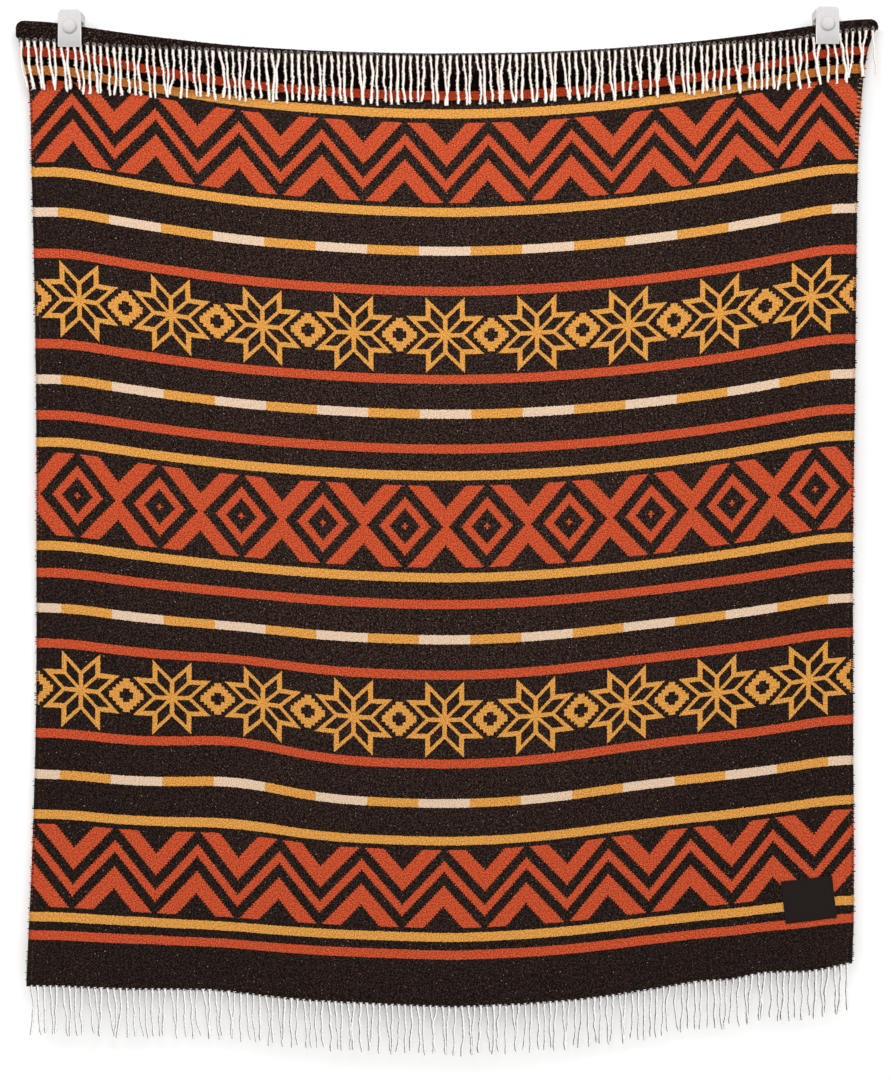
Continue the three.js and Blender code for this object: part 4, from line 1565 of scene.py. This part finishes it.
class ThrowFitClips(bpy.types.Operator):
    """Fit the clips: a back plate with its jaw, a front plate with a boss, a coil and the pin."""

    bl_idname = "throw.fit_clips"
    bl_label = "Fit Clips"

    def execute(self, context):
        settings = context.scene.throw_clips
        cloth_thick = context.scene.throw_cloth.thick
        half_wide, half_tall = CLIP_SIZE.x / 2, CLIP_SIZE.z / 2
        clip_z = CLIPS[0].z
        base_half = BASE_SIZE.x / 2
        pin_y, pin_z = (PIN_BOX[0].y + PIN_BOX[1].y) / 2, (PIN_BOX[0].z + PIN_BOX[1].z) / 2 - clip_z
        pin_radius = (PIN_BOX[1].z - PIN_BOX[0].z) / 2
        front_face = -HANG_DEPTH - LAYER_GAP - 1.5 * cloth_thick - FRONT_GAP
        outer_ear = half_wide - EAR_WIDE
        inner_ear = outer_ear - EAR_WIDE - PIECE_GAP

        back = clip_plate(-BASE_THICK, 0, base_half, half_tall, settings)
        jaw_face = -HANG_DEPTH + cloth_thick / 2 + JAW_GAP
        jaw_top = (half_wide, -BASE_THICK / 2, JAW_TALL - half_tall)
        jaw = add_block((-half_wide, jaw_face, -half_tall), jaw_top)
        jaw_round = settings.plate_round * JAW_ROUND
        apply_modifier(jaw, "BEVEL", width=jaw_round, segments=2, limit_method="ANGLE")
        combine(back, jaw, "UNION")
        front = clip_plate(front_face - PLATE_THICK, front_face, half_wide, half_tall, settings)
        boss = clip_boss(BOSS_RADIUS, front_face - PLATE_THICK, PLATE_THICK / 2, BOSS_UP)
        combine(front, boss, "UNION")
        for side in (-1, 1):
            outer = sorted((side * outer_ear, side * half_wide))
            inner = sorted((side * inner_ear, side * (inner_ear + EAR_WIDE)))
            back_ear = clip_ear(*outer, front_face + OUTER_EAR_GAP, -BASE_THICK / 2)
            combine(back, back_ear, "UNION")
            front_ear = clip_ear(*inner, pin_y + INNER_EAR_REACH, front_face - PLATE_THICK / 2)
            combine(front, front_ear, "UNION")
        for plate in (back, front):
            bore = pin_bore(pin_radius + PIECE_GAP, 2 * CLIP_SIZE.x, pin_y, pin_z)
            combine(plate, bore, "DIFFERENCE")
        radius = pin_radius + PIECE_GAP + settings.wire / 2
        coil = spring_coil(settings.wire, radius, inner_ear - PIECE_GAP, pin_y, pin_z)

        plastic, steel = clip_plastic(settings), clip_steel(settings)
        made = (
            ("back_plate", back, plastic, "clip_plastic", "base"),
            ("front_plate", front, plastic, "clip_plastic", "front"),
            ("coil", coil, steel, "clip_steel", "spring"),
        )
        for clip in CLIPS:
            for name, pattern, material, slot, node in made:
                piece = place_copy(pattern, f"{clip.side}_clip_{name}", clip)
                finish_piece(piece, material, slot, f"{clip.side}_clip_{node}")
            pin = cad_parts[f"{clip.side}_clip_pin"]
            pin.data.materials.clear()
            pin.data.materials.append(steel)
        for pattern in (back, front, coil):
            bpy.data.objects.remove(pattern)
        return {"FINISHED"}


# How pale the wall's paint is from low down to high up, so that the uneven light leaves it evenly white
WALL_LEVELS = (
    (-1.62, 0.93), (-1.52, 0.945), (-1.40, 0.975), (-1.25, 0.97), (-1.05, 0.92), (-0.75, 0.84),
    (-0.30, 0.825), (-0.12, 0.81), (0.05, 0.81),
)


# Painted light: paler paint still over the fold line, left of the cloth, and most of all low down there
PALER_ABOVE = (-0.014, 0.004)
PALER_BESIDE = (-0.60, -0.66)
PALER_LOW = (-0.75, -1.05)


def wall_paint():
    """White paint, seen from its front only, so that the cloth's back can be looked at too."""
    finish = Finish("wall_paint")
    across, _, height = finish.parts(finish.object_place())
    low, high = WALL_LEVELS[0][0], WALL_LEVELS[-1][0]
    share = (height - low) * (1 / (high - low))
    ramp = finish.node("ShaderNodeValToRGB", {"Fac": share})
    while len(ramp.color_ramp.elements) < len(WALL_LEVELS):
        ramp.color_ramp.elements.new(1)
    for stop, (level, pale) in zip(ramp.color_ramp.elements, WALL_LEVELS):
        stop.position = (level - low) / (high - low)
        stop.color = (pale, pale, pale, 1)

    sag = (FOLD_SECTION.left_z - FOLD_SECTION.middle_z) / FOLD_SECTION.left_x ** 2
    above_fold = height - FOLD_SECTION.middle_z - across * across * sag
    beside = across.eased(*PALER_BESIDE) * (height.eased(*PALER_LOW) * 0.8 + 0.2)
    paler = above_fold.eased(*PALER_ABOVE) | beside
    colour = finish.mix(paler, ramp.outputs["Color"], (1, 1, 1, 1))
    paint = finish.node("ShaderNodeBsdfDiffuse", {"Color": colour}).outputs["BSDF"]
    clear = finish.node("ShaderNodeBsdfTransparent").outputs["BSDF"]
    behind = finish.node("ShaderNodeNewGeometry").outputs["Backfacing"]
    sides = finish.node("ShaderNodeMixShader", {0: behind, 1: paint, 2: clear})
    finish.node("ShaderNodeOutputMaterial", {"Surface": sides.outputs["Shader"]})
    return finish.material


def floor_paint():
    finish = Finish("floor_paint")
    clouds = finish.noise(finish.object_place(2), 1, 3)
    colour = finish.mix(clouds, (0.74, 0.74, 0.73, 1), (0.80, 0.80, 0.79, 1))
    return finish.surface(Base_Color=colour, Roughness=0.8)


def soft_light(name, place, aim, size, power):
    """A large square light that faces a point."""
    light = bpy.data.lights.new(name, "AREA")
    light.size = size
    light.energy = power
    made = new_object(name, light)
    made.location = place
    made.rotation_euler = (Vector(aim) - Vector(place)).to_track_quat("-Z", "Y").to_euler()


def light_from_all_round(world, low, high):
    """Light from every side, stronger from above than from below."""
    nodes, links = world.node_tree.nodes, world.node_tree.links
    way = nodes.new("ShaderNodeSeparateXYZ")
    links.new(nodes.new("ShaderNodeTexCoord").outputs["Generated"], way.inputs["Vector"])
    strength = nodes.new("ShaderNodeMapRange")
    for socket, value in zip(strength.inputs[1:5], (-1, 1, low, high)):
        socket.default_value = value
    links.new(way.outputs["Z"], strength.inputs["Value"])
    background = nodes["Background"]
    background.inputs["Color"].default_value = (1, 1, 1, 1)
    links.new(strength.outputs["Result"], background.inputs["Strength"])


WALL_BACK = 0.0006
WALL_SIZE = 12
FLOOR_SIZE = 16
SENSOR = 36
PICTURE_MIDDLE = (-0.0048, -0.7967)
# Each light's place, the point that it faces, its size and the setting for its power
LIGHTS = {
    "left_light": ((-2.1, -1.4, 0.7), (-0.1, 0, -0.75), 0.9, "side_power"),
    "right_light": ((2.1, -1.4, 0.7), (0.1, 0, -0.75), 0.9, "side_power"),
    "top_light": ((0, -1.3, 0.3), (0, 0, -0.6), 0.6, "top_power"),
}


class ThrowSetStage(bpy.types.Operator):
    """Set the stage: a white wall, a pale floor, soft light and the camera."""

    bl_idname = "throw.set_stage"
    bl_label = "Set Stage"

    def execute(self, context):
        settings = context.scene.throw_stage
        upright = (math.pi / 2, 0, 0)
        wall = add_shape("plane", size=WALL_SIZE, rotation=upright, location=(0, WALL_BACK, 0))
        floor = add_shape("plane", size=FLOOR_SIZE, location=(0, 0, settings.floor_level))
        for made, name, paint in ((wall, "wall", wall_paint()), (floor, "floor", floor_paint())):
            made.name = name
            made.data.materials.append(paint)
        for ray in ("diffuse", "glossy", "transmission", "shadow"):
            setattr(wall, f"visible_{ray}", False)

        world = bpy.data.worlds.new("even_light")
        world.use_nodes = True
        light_from_all_round(world, settings.sky_low, settings.sky_high)
        context.scene.world = world
        for name, (place, aim, size, power) in LIGHTS.items():
            soft_light(name, place, aim, size, getattr(settings, power))

        camera = new_object("camera", bpy.data.cameras.new("camera"))
        camera.data.sensor_width = SENSOR
        camera.data.lens = SENSOR * settings.camera_back / settings.frame_tall
        camera.location = (PICTURE_MIDDLE[0], -HANG_DEPTH - settings.camera_back, PICTURE_MIDDLE[1])
        camera.rotation_euler = upright
        context.scene.camera = camera
        context.scene.view_settings.view_transform = "Standard"
        return {"FINISHED"}


class ThrowPanel(bpy.types.Panel):
    """Lists the steps that dress the throw, and their sizes and colours."""

    bl_idname = "VIEW3D_PT_throw"
    bl_label = "Fringed Throw"
    bl_space_type = "VIEW_3D"
    bl_region_type = "UI"
    bl_category = "Throw"

    def draw(self, context):
        for group, (_, steps) in GROUPS.items():
            box = self.layout.box()
            settings = getattr(context.scene, group)
            for name in settings.__annotations__:
                box.prop(settings, name)
            for step in steps:
                box.operator(step.bl_idname)


# Each group of settings: its kind and the steps that use it
GROUPS = {
    "throw_cloth": (ThrowCloth, (ThrowHangCloth, ThrowOverlockEdges, ThrowSewLabel)),
    "throw_fringe": (ThrowFringe, (ThrowAddFringes,)),
    "throw_clips": (ThrowClips, (ThrowFitClips,)),
    "throw_stage": (ThrowStage, (ThrowSetStage,)),
}
KINDS = [kind for group, steps in GROUPS.values() for kind in (group, *steps)] + [ThrowPanel]


def register():
    for kind in KINDS:
        bpy.utils.register_class(kind)
    for name, (kind, _) in GROUPS.items():
        setattr(bpy.types.Scene, name, bpy.props.PointerProperty(type=kind))


def unregister():
    for name in GROUPS:
        delattr(bpy.types.Scene, name)
    for kind in reversed(KINDS):
        bpy.utils.unregister_class(kind)


def main():
    register()
    bpy.ops.throw.hang_cloth()
    bpy.ops.throw.add_fringes()
    bpy.ops.throw.overlock_edges()
    bpy.ops.throw.sew_label()
    bpy.ops.throw.fit_clips()
    bpy.ops.throw.set_stage()


if __name__ == "__main__":
    main()
